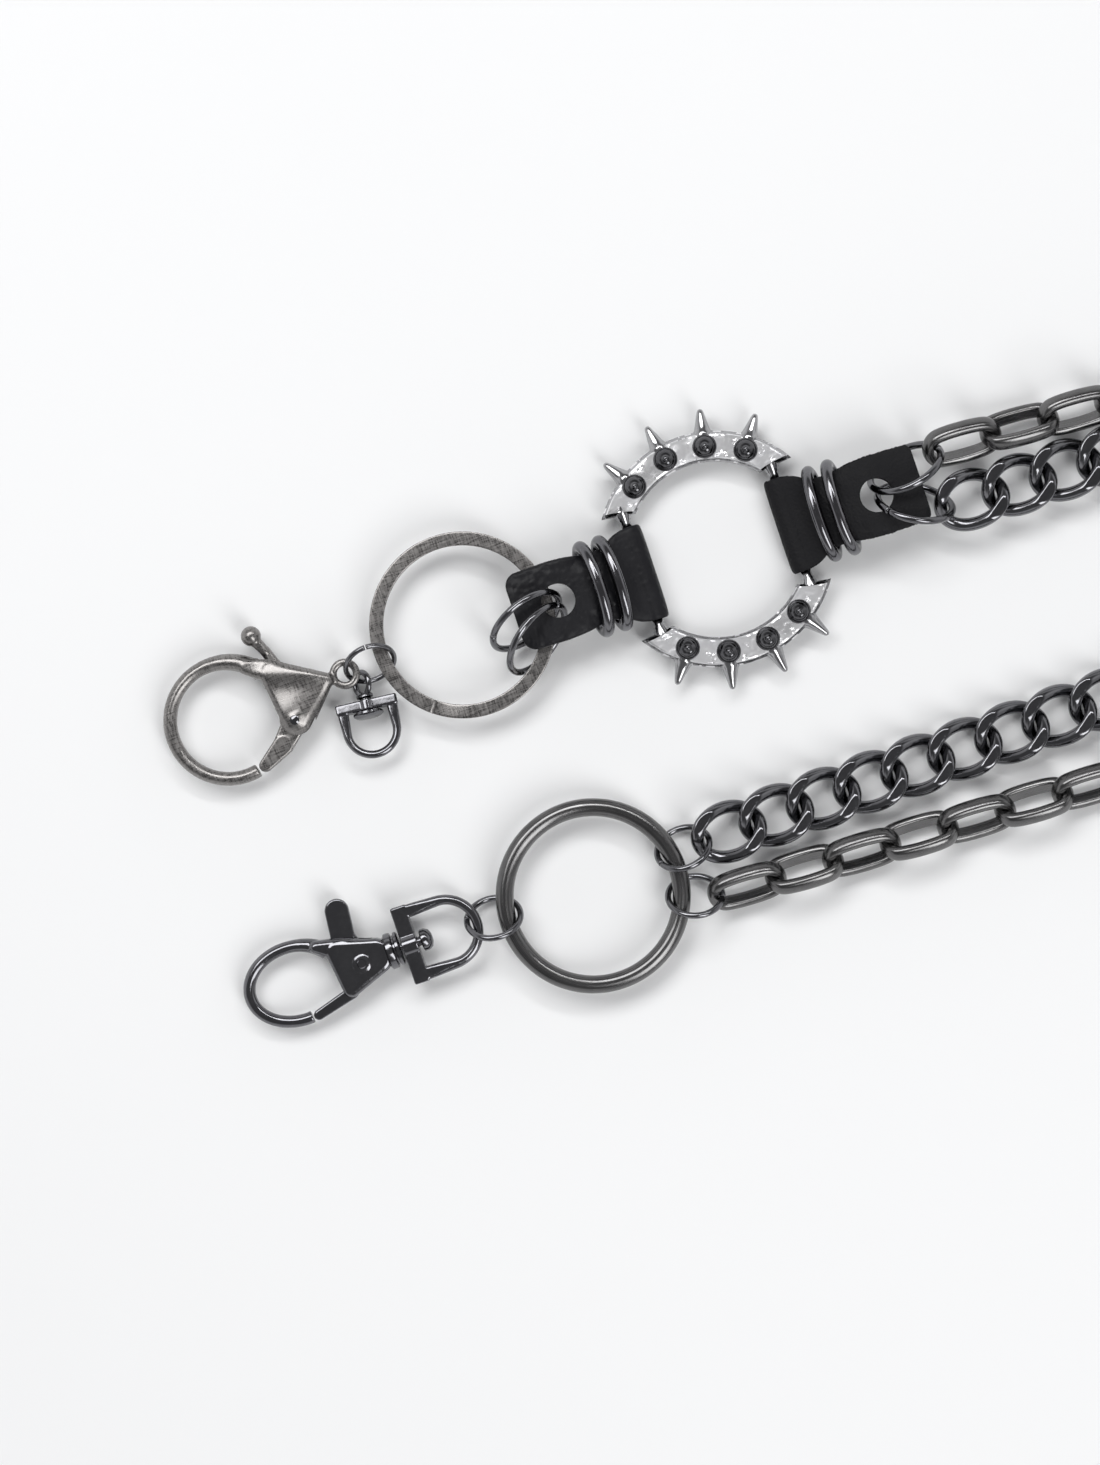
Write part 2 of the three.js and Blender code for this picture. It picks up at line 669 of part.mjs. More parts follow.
// ---------------------------------------------------------------- flat ring, large clasp, swivel
const flatOuter = flatRing.radius + flatRing.width / 2;
const flatToHole = flatOuter + strapJump.wire + play;
const claspJumpHeight = leaningHeight(claspJump);
const flatUnderStrapRings = 1.7; // the flat ring hangs this far below the strap rings' middles
const flatHigh = leaningHeight(strapJump) - flatUnderStrapRings;
const flatClimb = climbFor(flatHigh - claspJumpHeight, 2 * flatRing.radius);
const flatMiddle = (flatHigh + claspJumpHeight) / 2;
const flatCentre = along(leftHole, headings.flatRing, flatToHole).setZ(flatMiddle);

// Two flat turns of one strip, each lying on the other.
function splitRing() {
  const { radius, width, strip, turns, stepsPerTurn } = flatRing;
  const rise = turns * (strip + play);
  const path = (share) => {
    const turn = share * turns * 2 * Math.PI;
    return new THREE.Vector3(radius * Math.cos(turn), radius * Math.sin(turn), (share - 0.5) * rise);
  };
  const straight = new THREE.BoxGeometry(width, 1, strip, 1, turns * stepsPerTurn, 1);
  return mergeVertices(bentBar(straight, path), 1e-4);
}

const flatMesh = addMesh(model, "flat_key_ring", splitRing(), satinGunmetal);
pose(flatMesh, flatCentre, headings.flatRing - 180, flatClimb);

const flatToJump = flatRing.radius - flatRing.width / 2 - claspJump.wire - play + claspJump.radius;
const claspJumpCentre = along(flatCentre, headings.claspRing, flatToJump).setZ(claspJumpHeight);
addJumpRing("clasp_jump_ring", claspJump, claspJumpCentre, headings.claspRing, 0, -claspJump.lean);

const largeReach = largeClasp.hook.centre + largeClasp.hook.long;
const largeClimb = -climbFor(claspJumpHeight - largeClasp.thick / 2, largeReach);
const eyePlace = along(claspJumpCentre, headings.claspRing, claspJump.radius + 0.4);
const largeFrame = addFrame(eyePlace, headings.largeClasp, largeClimb);
const largeEye = wireRing(claspEye.radius, claspEye.wire, 16, 6);
const knobPiece = new THREE.SphereGeometry(largeClasp.knob[2], 10, 8);
knobPiece.translate(largeClasp.knob[0], largeClasp.knob[1], 0);
addClasp("large_clasp", largeFrame, largeClasp, largeEye, knobPiece, gunmetal);

// The spare swivel hangs on the low side of the clasp's jump ring.
function swivelFrame() {
  const holder = pose(new THREE.Object3D(), claspJumpCentre, headings.claspRing, 0, -claspJump.lean);
  holder.updateMatrix();
  const around = direction(swivel.onRing).multiplyScalar(claspJump.radius);
  const place = along(around.applyMatrix4(holder.matrix), swivel.heading, 0.5);
  const frame = addFrame(place, swivel.heading, swivel.climb);
  frame.rotation.x = radians(swivel.roll);
  return frame;
}

const spare = swivelFrame();
const spareStem = turningStem(swivelStem, swivel.eye - 0.3, swivel.neck + bail.barThick / 2 + play);
const spareEye = wireRing(swivel.eye, swivel.wire, 16, 6);
addMesh(spare, "swivel_eye", geometryOf(joined([spareEye, spareStem])), gunmetal);
const bailMesh = addMesh(spare, "swivel_bail", crossbarLoop(bail, swivelStem.radius), gunmetal);
pose(bailMesh, new THREE.Vector3(swivel.neck, 0, 0), 0, 0, -swivel.roll);

// ---------------------------------------------------------------- strands
const curbReach = (gap) => hookReach(curb.pitch, 2 * curb.wire, gap);
const cableReach = (gap) => hookReach(cable.pitch, cable.radial, gap);
const restCurb = curb.flat;
const cableHalf = (cable.outerWidth + cable.axial) / 2;
const restCable = cableHalf * Math.sin(radians(cable.lean)) * 0.97;

function ringToLink(size, linkWire, pitchWire) {
  return size.radius - size.wire - linkWire - play + (pitchWire + play) / 2;
}

function lowerRing(name, heading, pull) {
  const centre = along(ringCentre, heading, ringToJump);
  addJumpRing(name, lowerJump, centre, pull, 0, -lowerJump.lean);
  return centre;
}

const lowerCurbCentre = lowerRing("lower_ring_curb", headings.curbRing, headings.curbRingPull);
const lowerCableCentre = lowerRing("lower_ring_cable", headings.cableRing, headings.cableRingPull);
const curbGap = ringToLink(lowerJump, curb.wire, 2 * curb.wire);
const cableGap = ringToLink(lowerJump, cable.radial / 2, cable.radial);
const curbStart = along(lowerCurbCentre, headings.curbPull, curbGap);
const cableStart = along(lowerCableCentre, headings.cableRingPull, cableGap);
const curbEnd = strandEnd(curbRing, chainJump, curb.wire, 2 * curb.wire);
const cableEnd = strandEnd(cableRing, chainJump, cable.radial / 2, cable.radial);

function strandEnd(ring, size, linkWire, pitchWire) {
  return along(ring.centre, ring.heading, ringToLink(size, linkWire, pitchWire), ring.drop);
}

const curbStrand = {
  pitch: curb.pitch,
  loop: curbLoop,
  rest: restCurb,
  linkGroup: 1,
  lower: 19.3,
  upper: 17.5,
};
const cableStrand = {
  pitch: cable.pitch,
  loop: cableLoop,
  rest: restCable,
  linkGroup: 2,
  lower: 16.3,
  upper: 15.5,
};
const curbHooks = fittedStrand(curbStart, curbEnd, curbStrand);
const cableHooks = fittedStrand(cableStart, cableEnd, cableStrand);
const cableRoll = (index) => (index % 2 === 0 ? cable.lean : -cable.lean);
const curbRoll = () => 0;
addStrand("curb", curbHooks, curbLink, curbReach, curbRoll, lowerCurbLinks, upperCurbLinks, gunmetal);
addStrand(
  "cable",
  cableHooks,
  cableLink,
  cableReach,
  cableRoll,
  lowerCableLinks,
  upperCableLinks,
  satinGunmetal,
);

// ---------------------------------------------------------------- resting place
const box = new THREE.Box3().setFromObject(model, true);
const middle = box.getCenter(new THREE.Vector3());
model.position.set(-middle.x, -middle.y, -box.min.z);
model.updateMatrixWorld(true);

export default model;
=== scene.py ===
# Looks of the double strand wallet chain: fine links, rings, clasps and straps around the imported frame.
import json
import math

import bpy
import numpy as np
from mathutils import Matrix, Vector, noise

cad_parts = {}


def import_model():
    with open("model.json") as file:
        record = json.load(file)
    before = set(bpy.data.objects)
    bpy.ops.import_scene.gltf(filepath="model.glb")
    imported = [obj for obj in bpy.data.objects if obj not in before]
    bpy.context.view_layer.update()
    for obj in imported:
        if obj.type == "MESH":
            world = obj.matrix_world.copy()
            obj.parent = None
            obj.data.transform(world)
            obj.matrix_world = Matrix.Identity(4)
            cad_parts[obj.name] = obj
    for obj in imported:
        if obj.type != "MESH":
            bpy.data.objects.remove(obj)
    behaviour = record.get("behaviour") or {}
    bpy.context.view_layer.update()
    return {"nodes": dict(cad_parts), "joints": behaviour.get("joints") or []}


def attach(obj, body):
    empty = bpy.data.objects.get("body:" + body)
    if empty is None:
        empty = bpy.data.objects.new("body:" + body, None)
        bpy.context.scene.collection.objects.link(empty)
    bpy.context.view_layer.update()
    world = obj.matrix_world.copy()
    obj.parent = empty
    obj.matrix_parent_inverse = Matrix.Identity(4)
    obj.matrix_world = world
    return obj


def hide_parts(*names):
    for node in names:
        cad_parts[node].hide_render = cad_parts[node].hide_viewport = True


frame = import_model()

MM = 0.001
joints = {joint["name"]: joint for joint in frame["joints"]}
PLAY = 0.3  # between a link's wire and its neighbour's
SMOOTH_FACTOR = 0.5

# ------------------------------------------------------------------ sizes, in millimetres
CURB = {"pitch": 9.4, "wire": 1.25, "half_width": 4.6, "twist": 1.6, "flat": 2.35}
CABLE = {"pitch": 11.2, "radial": 1.9, "axial": 3.0, "outer_width": 9.0, "lean": 45}
STRAND_REACH = 190
VIEW_REACH = 112
SETTLE_LINKS = 5
UPPER_HEADING = 18.3
CURB_STRAND = {"loop": 28, "lower": 19.3, "upper": 17.5, "group": 1}
CABLE_STRAND = {"loop": 46, "lower": 16.3, "upper": 15.5, "group": 2}
LOWER_CURB_LINKS = 9
LOWER_CABLE_LINKS = 7
UPPER_LINKS = 4


# ------------------------------------------------------------------ materials
# Scales of noise are per metre, and depths of bumps are in metres.
NOISE_SPAN = (0.3, 0.7)
PLATING = {"cloud": 260, "grain": 1400, "ripple": 110, "ripple_strength": 0.35, "ripple_depth": 0.0004}
FINE_DEPTH = 0.00004
PIT_DEPTH = 0.00022
SCRATCHES_ONE_WAY = (350, 5200, 350)
SCRATCHES_OTHER_WAY = (4200, 500, 420)


def new_material(name):
    material = bpy.data.materials.new(name)
    material.use_nodes = True
    nodes = material.node_tree.nodes
    links = material.node_tree.links
    return material, nodes, links, nodes["Principled BSDF"]


def mix_colours(nodes, links, factor, dark, light, low=0.0, high=1.0):
    ramp = nodes.new("ShaderNodeValToRGB")
    ramp.color_ramp.elements[0].position = low
    ramp.color_ramp.elements[1].position = high
    ramp.color_ramp.elements[0].color = (*dark, 1)
    ramp.color_ramp.elements[1].color = (*light, 1)
    links.new(factor, ramp.inputs["Fac"])
    return ramp.outputs["Color"]


def noise_factor(nodes, links, scale, detail=4.0, stretch=None, coordinate="Object"):
    place = nodes.new("ShaderNodeTexCoord")
    source = place.outputs[coordinate]
    if stretch:
        mapping = nodes.new("ShaderNodeMapping")
        mapping.inputs["Scale"].default_value = stretch
        links.new(source, mapping.inputs["Vector"])
        source = mapping.outputs["Vector"]
    texture = nodes.new("ShaderNodeTexNoise")
    texture.inputs["Scale"].default_value = scale
    texture.inputs["Detail"].default_value = detail
    links.new(source, texture.inputs["Vector"])
    return texture.outputs["Fac"]


def remap(nodes, links, factor, low, high):
    node = nodes.new("ShaderNodeMapRange")
    node.inputs["From Min"].default_value, node.inputs["From Max"].default_value = NOISE_SPAN
    node.inputs["To Min"].default_value = low
    node.inputs["To Max"].default_value = high
    links.new(factor, node.inputs["Value"])
    return node.outputs["Result"]


def bumped(nodes, links, height, strength, distance, under=None):
    bump = nodes.new("ShaderNodeBump")
    bump.inputs["Strength"].default_value = strength
    bump.inputs["Distance"].default_value = distance
    links.new(height, bump.inputs["Height"])
    if under is not None:
        links.new(under, bump.inputs["Normal"])
    return bump.outputs["Normal"]


def add_bump(nodes, links, shader, height, strength, distance):
    links.new(bumped(nodes, links, height, strength, distance), shader.inputs["Normal"])


def plated_metal(name, dark, light, rough, line_scale=None, line_strength=0.15):
    material, nodes, links, shader = new_material(name)
    shader.inputs["Metallic"].default_value = 1.0
    cloud = noise_factor(nodes, links, PLATING["cloud"], 5)
    links.new(mix_colours(nodes, links, cloud, dark, light), shader.inputs["Base Color"])
    if line_scale:
        fine = noise_factor(nodes, links, 1.0, 3, line_scale, "UV")
    else:
        fine = noise_factor(nodes, links, PLATING["grain"], 3)
    links.new(remap(nodes, links, fine, *rough), shader.inputs["Roughness"])
    waves = noise_factor(nodes, links, PLATING["ripple"], 1)
    ripple = bumped(nodes, links, waves, PLATING["ripple_strength"], PLATING["ripple_depth"])
    surface = bumped(nodes, links, fine, line_strength, FINE_DEPTH, ripple)
    links.new(surface, shader.inputs["Normal"])
    return material


def scratched_metal():
    """Plating rubbed grey by keys: fine scratches two ways over a faint warm haze."""
    material, nodes, links, shader = new_material("hazy_gunmetal")
    shader.inputs["Metallic"].default_value = 1.0
    one_way = noise_factor(nodes, links, 1.0, 3, SCRATCHES_ONE_WAY)
    other_way = noise_factor(nodes, links, 1.0, 3, SCRATCHES_OTHER_WAY)
    both = nodes.new("ShaderNodeMath")
    both.operation = "MULTIPLY"
    links.new(one_way, both.inputs[0])
    links.new(other_way, both.inputs[1])
    doubled = nodes.new("ShaderNodeMath")
    doubled.operation = "MULTIPLY"
    doubled.inputs[1].default_value = 2.0
    links.new(both.outputs["Value"], doubled.inputs[0])
    scratches = doubled.outputs["Value"]
    colour = mix_colours(nodes, links, scratches, (0.13, 0.125, 0.122), (0.37, 0.356, 0.347))
    links.new(colour, shader.inputs["Base Color"])
    links.new(remap(nodes, links, scratches, 0.24, 0.4), shader.inputs["Roughness"])
    add_bump(nodes, links, shader, scratches, 0.2, FINE_DEPTH)
    return material


def hammered_metal_painted_highlight():
    """Plating over a rough casting, coloured brighter than the rims as a painted highlight: mostly smooth,
    with scattered pits and soft dents.
    """
    material, nodes, links, shader = new_material("hammered_chrome_painted_highlight")
    shader.inputs["Metallic"].default_value = 1.0
    grain = noise_factor(nodes, links, 520, 3)
    pits = mix_colours(nodes, links, grain, (0, 0, 0), (1, 1, 1), 0.28, 0.38)
    cloud = noise_factor(nodes, links, 150, 2)
    # The bright base colour is a painted highlight on the upward face; the cloud only varies its tone at
    # random.
    tint = mix_colours(nodes, links, cloud, (0.62, 0.62, 0.64), (0.95, 0.95, 0.96), 0.35, 0.6)
    links.new(tint, shader.inputs["Base Color"])
    links.new(remap(nodes, links, cloud, 0.40, 0.26), shader.inputs["Roughness"])
    add_bump(nodes, links, shader, pits, 0.4, PIT_DEPTH)
    return material


def leather(name, colour, roughness, grain, grain_depth):
    material, nodes, links, shader = new_material(name)
    cells = nodes.new("ShaderNodeTexVoronoi")
    cells.feature = "SMOOTH_F1"
    cells.inputs["Scale"].default_value = grain
    place = nodes.new("ShaderNodeTexCoord")
    links.new(place.outputs["Object"], cells.inputs["Vector"])
    wear = noise_factor(nodes, links, 180, 6)
    lighter = tuple(c * 1.7 + 0.003 for c in colour)
    links.new(mix_colours(nodes, links, wear, colour, lighter), shader.inputs["Base Color"])
    links.new(remap(nodes, links, wear, roughness - 0.08, roughness + 0.1), shader.inputs["Roughness"])
    shader.inputs["Specular IOR Level"].default_value = 0.22
    add_bump(nodes, links, shader, cells.outputs["Distance"], 0.45, grain_depth)
    return material


GLOSS = plated_metal("gunmetal_gloss", (0.115, 0.115, 0.124), (0.21, 0.21, 0.22), (0.09, 0.18))
SATIN = plated_metal("gunmetal_satin", (0.105, 0.104, 0.106), (0.19, 0.188, 0.187), (0.17, 0.3),
                     (3, 60, 1), 0.35)
HAZY = scratched_metal()
HAMMERED_PAINTED_HIGHLIGHT = hammered_metal_painted_highlight()
CHROME = plated_metal("dark_chrome", (0.30, 0.30, 0.31), (0.48, 0.48, 0.49), (0.1, 0.2))
STUD = plated_metal("stud_chrome", (0.07, 0.07, 0.076), (0.15, 0.15, 0.156), (0.08, 0.16))
LEATHER = leather("black_leather", (0.0045, 0.0045, 0.006), 0.44, 1000, 0.0003)
SUEDE = leather("suede_leather", (0.0035, 0.0035, 0.0045), 0.66, 2200, 0.0003)
SPRING = plated_metal("spring_steel", (0.35, 0.35, 0.36), (0.5, 0.5, 0.52), (0.25, 0.4))


# ------------------------------------------------------------------ meshes
def shade_smooth(mesh):
    mesh.polygons.foreach_set("use_smooth", [True] * len(mesh.polygons))


def finish_object(name, mesh, material, place=None):
    piece = bpy.data.objects.new(name, mesh)
    bpy.context.scene.collection.objects.link(piece)
    if place is not None:
        piece.matrix_world = place
    mesh.materials.clear()
    mesh.materials.append(material)
    shade_smooth(mesh)
    return piece


def mesh_from(name, rows, closed_along):
    """Skins rows of points, each row a closed section; rows join end to start when closed_along."""
    count = len(rows)
    sides = len(rows[0])
    points = [tuple(c * MM for c in point) for row in rows for point in row]
    faces = []
    spans = count if closed_along else count - 1
    uvs = []
    for i in range(spans):
        for j in range(sides):
            after = (j + 1) % sides
            ahead = (i + 1) % count
            faces.append((i * sides + j, i * sides + after, ahead * sides + after, ahead * sides + j))
            low, high = j / sides, (j + 1) / sides
            uvs += [(i / spans, low), (i / spans, high), ((i + 1) / spans, high), ((i + 1) / spans, low)]
    if not closed_along:
        faces.append(tuple(reversed(range(sides))))
        faces.append(tuple((count - 1) * sides + j for j in range(sides)))
        uvs += [(0, 0)] * sides + [(1, 0)] * sides
    mesh = bpy.data.meshes.new(name)
    mesh.from_pydata(points, [], faces)
    layer = mesh.uv_layers.new(name="UVMap")
    for index, uv in enumerate(uvs):
        layer.data[index].uv = uv
    mesh.update()
    return mesh


def sweep(name, path, section, steps, sides, closed=True):
    """Carries section(share, turn) -> (outward, upward) along path(share), both in millimetres."""
    rows = []
    count = steps if closed else steps + 1
    up = Vector((0, 0, 1))
    for i in range(count):
        share = i / steps
        centre = path(share)
        ahead = (path(share + 1e-4) - path(share - 1e-4)).normalized()
        out = ahead.cross(up).normalized()
        rise = out.cross(ahead)
        row = []
        for j in range(sides):
            outward, upward = section(share, 2 * math.pi * j / sides)
            row.append(centre + out * outward + rise * upward)
        rows.append(row)
    return mesh_from(name, rows, closed)


def round_wire(radius):
    return lambda share, turn: (radius * math.cos(turn), -radius * math.sin(turn))


def superellipse(half_wide, half_high, power):
    """A rectangle with rounded corners; a higher power is squarer."""
    def section(share, turn):
        c, s = math.cos(turn), math.sin(turn)
        wide = half_wide * math.copysign(abs(c) ** (2 / power), c)
        high = half_high * math.copysign(abs(s) ** (2 / power), s)
        return wide, -high
    return section


def frame_matrix(origin, x_axis, z_axis):
    x = Vector(x_axis).normalized()
    z = Vector(z_axis)
    z = (z - x * z.dot(x)).normalized()
    y = z.cross(x)
    matrix = Matrix((x, y, z)).transposed().to_4x4()
    matrix.translation = Vector(origin)
    return matrix


def fitted_frame(node):
    """The centre and main axes of a CAD node: longest reach along X, shortest along Z."""
    points = np.array([vertex.co for vertex in frame["nodes"][node].data.vertices])
    middle = points.mean(0)
    axes = np.linalg.eigh(np.cov((points - middle).T))[1]
    long_axis = axes[:, 2]
    short_axis = axes[:, 0]
    if short_axis[2] < 0:
        short_axis = -short_axis
    return frame_matrix(middle, long_axis, short_axis)


def join_meshes(name, meshes, places):
    points, faces, uvs = [], [], []
    for mesh, place in zip(meshes, places):
        start = len(points)
        points += [tuple(place @ vertex.co) for vertex in mesh.vertices]
        faces += [tuple(start + i for i in polygon.vertices) for polygon in mesh.polygons]
        uvs += [tuple(loop.uv) for loop in mesh.uv_layers[0].data]
    joined = bpy.data.meshes.new(name)
    joined.from_pydata(points, [], faces)
    layer = joined.uv_layers.new(name="UVMap")
    layer.data.foreach_set("uv", [c for uv in uvs for c in uv])
    joined.update()
    return joined


def soften(piece, voxel, rounds):
    """Fuses overlapping closed shapes into one skin and rounds its edges."""
    remesh = piece.modifiers.new("fuse", "REMESH")
    remesh.mode = "VOXEL"
    remesh.voxel_size = voxel * MM
    smooth = piece.modifiers.new("round", "SMOOTH")
    smooth.iterations = rounds
    smooth.factor = SMOOTH_FACTOR
    apply_modifiers(piece)
    material = piece.data.materials[0]
    shade_smooth(piece.data)
    piece.data.materials.clear()
    piece.data.materials.append(material)


def apply_modifiers(piece):
    bpy.context.view_layer.update()
    graph = bpy.context.evaluated_depsgraph_get()
    fresh = bpy.data.meshes.new_from_object(piece.evaluated_get(graph))
    piece.modifiers.clear()
    piece.data = fresh


def place_piece(piece, body, slot, *nodes):
    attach(piece, body)
    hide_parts(*nodes)


# ------------------------------------------------------------------ chain links
LINK_STEPS = 72
LINK_SIDES = 24


def curb_link_mesh(half_length):
    def path(share):
        turn = 2 * math.pi * share
        height = -CURB["twist"] * math.sin(2 * turn)
        return Vector((half_length * math.cos(turn), CURB["half_width"] * math.sin(turn), height))

    mesh = sweep("curb_link", path, round_wire(CURB["wire"]), LINK_STEPS, LINK_SIDES)
    flat = CURB["flat"] * MM
    for vertex in mesh.vertices:
        vertex.co.z = max(-flat, min(flat, vertex.co.z))
    mesh.update()
    return mesh


def cable_link_mesh(half_length):
    end_radius = (CABLE["outer_width"] - CABLE["radial"]) / 2
    straight = half_length - end_radius

    def path(share):
        turn = 2 * math.pi * share
        side = max(-1, min(1, 1.6 * math.cos(turn)))
        side = math.sin(side * math.pi / 2)
        return Vector((end_radius * math.cos(turn) + straight * side, end_radius * math.sin(turn), 0))

    def section(share, turn):
        c, s = math.cos(turn), math.sin(turn)
        outward = CABLE["radial"] / 2 * (c if c > 0 else max(c * 1.5, -1))
        return outward, -CABLE["axial"] / 2 * math.copysign(abs(s) ** 0.8, s)

    return sweep("cable_link", path, section, LINK_STEPS, LINK_SIDES)


def along(start, heading, distance):
    turn = math.radians(heading)
    return start + Vector((math.cos(turn), math.sin(turn), 0)) * distance


def with_height(point, height):
    return Vector((point.x, point.y, height))


def strand_route(start, end, strand, pitch, rest, extension):
    """Straight out, round a loop like a belt round a pulley, and straight back."""
    flat = math.radians(UPPER_HEADING)
    lag = (end - start).dot(Vector((math.cos(flat), math.sin(flat), 0)))
    centre = along((start + end) / 2, UPPER_HEADING, extension)
    points = [start]
    points.append(with_height(along(start, strand["lower"], SETTLE_LINKS * pitch), rest))
    points.append(with_height(along(start, strand["lower"], VIEW_REACH), rest))
    arc_steps = 48
    for i in range(arc_steps + 1):
        turn = UPPER_HEADING - 90 + 180 * i / arc_steps
        points.append(with_height(along(centre, turn, strand["loop"]), rest))
    points.append(with_height(along(end, strand["upper"], VIEW_REACH - lag), rest))
    points.append(end)
    return points


def crossing(start, end, centre, radius):
    near, far = 0.0, 1.0
    for _ in range(40):
        middle = (near + far) / 2
        if (start.lerp(end, middle) - centre).length < radius:
            near = middle
        else:
            far = middle
    return start.lerp(end, (near + far) / 2)


def march(route, pitch):
    hooks = [route[0]]
    place = route[0]
    for point in route[1:]:
        while (point - hooks[-1]).length >= pitch:
            place = crossing(place, point, hooks[-1], pitch)
            hooks.append(place)
        place = point
    return hooks, (place - hooks[-1]).length


def fitted_strand(start, end, strand, pitch, rest):
    def measure(extension):
        hooks, left = march(strand_route(start, end, strand, pitch, rest, extension), pitch)
        return len(hooks) + left / pitch

    group = strand["group"]
    target = math.ceil((measure(STRAND_REACH) + 1) / group) * group - 1
    low, high = STRAND_REACH, STRAND_REACH + pitch * group
    for _ in range(40):
        middle = (low + high) / 2
        if measure(middle) < target:
            low = middle
        else:
            high = middle
    route = strand_route(start, end, strand, pitch, rest, low)
    hooks, left = march(route, pitch)
    if left > pitch / 2:
        hooks.append(route[-1])
    return hooks


def link_matrix(hooks, index, roll):
    pull = (hooks[index + 1] - hooks[index]).normalized()
    side = Vector((0, 0, 1)).cross(pull).normalized()
    matrix = frame_matrix((hooks[index] + hooks[index + 1]) / 2 * MM, pull, pull.cross(side))
    return matrix @ Matrix.Rotation(math.radians(roll), 4, "X")


def first_hook(name, pitch, sign):
    """The free end of a strand, half a pitch from its first link's middle."""
    joint = joints[f"{name}_roll"]
    return (Vector(joint["pos_m"]) + Vector(joint["axis"]) * sign * pitch / 2 * MM) / MM


def build_strand(kind, size, strand, link_mesh, wire, roll_for, lower_count, material, slot):
    pitch = size["pitch"]
    start = first_hook(f"lower_{kind}_link_1", pitch, -1)
    end = first_hook(f"upper_{kind}_link_1", pitch, 1)
    level = f"lower_{kind}_link_{lower_count}_roll"
    rest = joints[level]["pos_m"][2] / MM
    hooks = fitted_strand(start, end, strand, pitch, rest)
    links = len(hooks) - 1
    mesh = link_mesh((pitch + wire + PLAY) / 2)
    run_places = []
    for index in range(links):
        place = link_matrix(hooks, index, roll_for(index))
        if lower_count <= index < links - UPPER_LINKS:
            run_places.append(place)
            continue
        upper = index >= lower_count
        node = f"upper_{kind}_link_{links - index}" if upper else f"lower_{kind}_link_{index + 1}"
        piece = finish_object(f"{node}_fine", mesh, material, place)
        place_piece(piece, node, slot, node)
    run = join_meshes(f"{kind}_run_links", [mesh] * len(run_places), run_places)
    piece = finish_object(f"{kind}_run_links", run, material)
    place_piece(piece, "chain_loop", slot, f"{kind}_chain_run")


build_strand("curb", CURB, CURB_STRAND, curb_link_mesh, 2 * CURB["wire"], lambda index: 0,
             LOWER_CURB_LINKS, GLOSS, "gunmetal_gloss")
build_strand("cable", CABLE, CABLE_STRAND, cable_link_mesh, CABLE["radial"],
             lambda index: CABLE["lean"] * (1 if index % 2 == 0 else -1),
             LOWER_CABLE_LINKS, SATIN, "gunmetal_satin")


# ------------------------------------------------------------------ rings
def ring_path(radius, from_deg=0.0, span_deg=360.0):
    def path(share):
        turn = math.radians(from_deg + span_deg * share)
        return Vector((radius * math.cos(turn), radius * math.sin(turn), 0))
    return path


# The radius of the wire's middle line and the wire's own radius.
JUMP_RINGS = {
    "lower_ring_curb": (5.1, 0.6), "lower_ring_cable": (5.1, 0.6), "lower_jump_ring": (5.1, 0.6),
    "chain_ring_cable": (7.1, 0.7), "chain_ring_curb": (7.1, 0.7),
    "strap_ring_1": (7.4, 0.65), "strap_ring_2": (7.4, 0.65), "clasp_jump_ring": (4.7, 0.5),
}
WIRE_RING = (16.6, 1.7)
CUT_HALF_GAP = 0.12
CUT_AT = 90.0


def jump_ring(node, radius, wire):
    """A bent wire ring whose two cut ends nearly meet."""
    gap = math.degrees(CUT_HALF_GAP / radius)
    path = ring_path(radius, CUT_AT + gap, 360 - 2 * gap)
    mesh = sweep(f"{node}_fine", path, round_wire(wire), 96, 20, closed=False)
    piece = finish_object(f"{node}_fine", mesh, GLOSS, fitted_frame(node))
    place_piece(piece, node, "gunmetal_gloss", node)


for ring_node, (ring_radius, ring_wire) in JUMP_RINGS.items():
    jump_ring(ring_node, ring_radius, ring_wire)


def wire_ring():
    mesh = sweep("wire_ring_fine", ring_path(WIRE_RING[0]), round_wire(WIRE_RING[1]), 160, 32)
    piece = finish_object("wire_ring_fine", mesh, SATIN, fitted_frame("wire_ring"))
    place_piece(piece, "wire_ring", "gunmetal_satin", "wire_ring")


wire_ring()

# Two flat turns of one strip; the ramp between them and the free end make the step of a split ring.
FLAT = {"radius": 16.2, "width": 2.6, "strip": 0.72, "split": -102, "ramp": 24, "apart": 0.06,
        "heading": 19.4}


def flat_key_ring():
    joint = joints["flat_key_ring_turn"]
    heading = math.radians(FLAT["heading"])
    toward_hole = Vector((math.cos(heading), math.sin(heading), 0))
    normal = Vector(joint["axis"])
    place = frame_matrix(joint["pos_m"], toward_hole - normal * normal.dot(toward_hole), normal)
    half = FLAT["strip"] / 2
    span = 720 - FLAT["ramp"] - 2

    def path(share):
        angle = span * share
        lift = (angle - (360 - FLAT["ramp"])) / FLAT["ramp"]
        lift = max(0, min(1, lift))
        lift = lift * lift * (3 - 2 * lift)
        turn = math.radians(FLAT["split"] + angle)
        height = (lift - 0.5) * (2 * half + FLAT["apart"])
        return Vector((FLAT["radius"] * math.cos(turn), FLAT["radius"] * math.sin(turn), height))

    mesh = sweep("flat_key_ring_fine", path, superellipse(FLAT["width"] / 2, half, 7), 300, 28, closed=False)
    piece = finish_object("flat_key_ring_fine", mesh, HAZY, place)
    place_piece(piece, "flat_key_ring", "gunmetal_satin", "flat_key_ring")


flat_key_ring()

# ------------------------------------------------------------------ solid helpers
def smooth_step(value, low, high):
    share = max(0.0, min(1.0, (value - low) / (high - low)))
    return share * share * (3 - 2 * share)


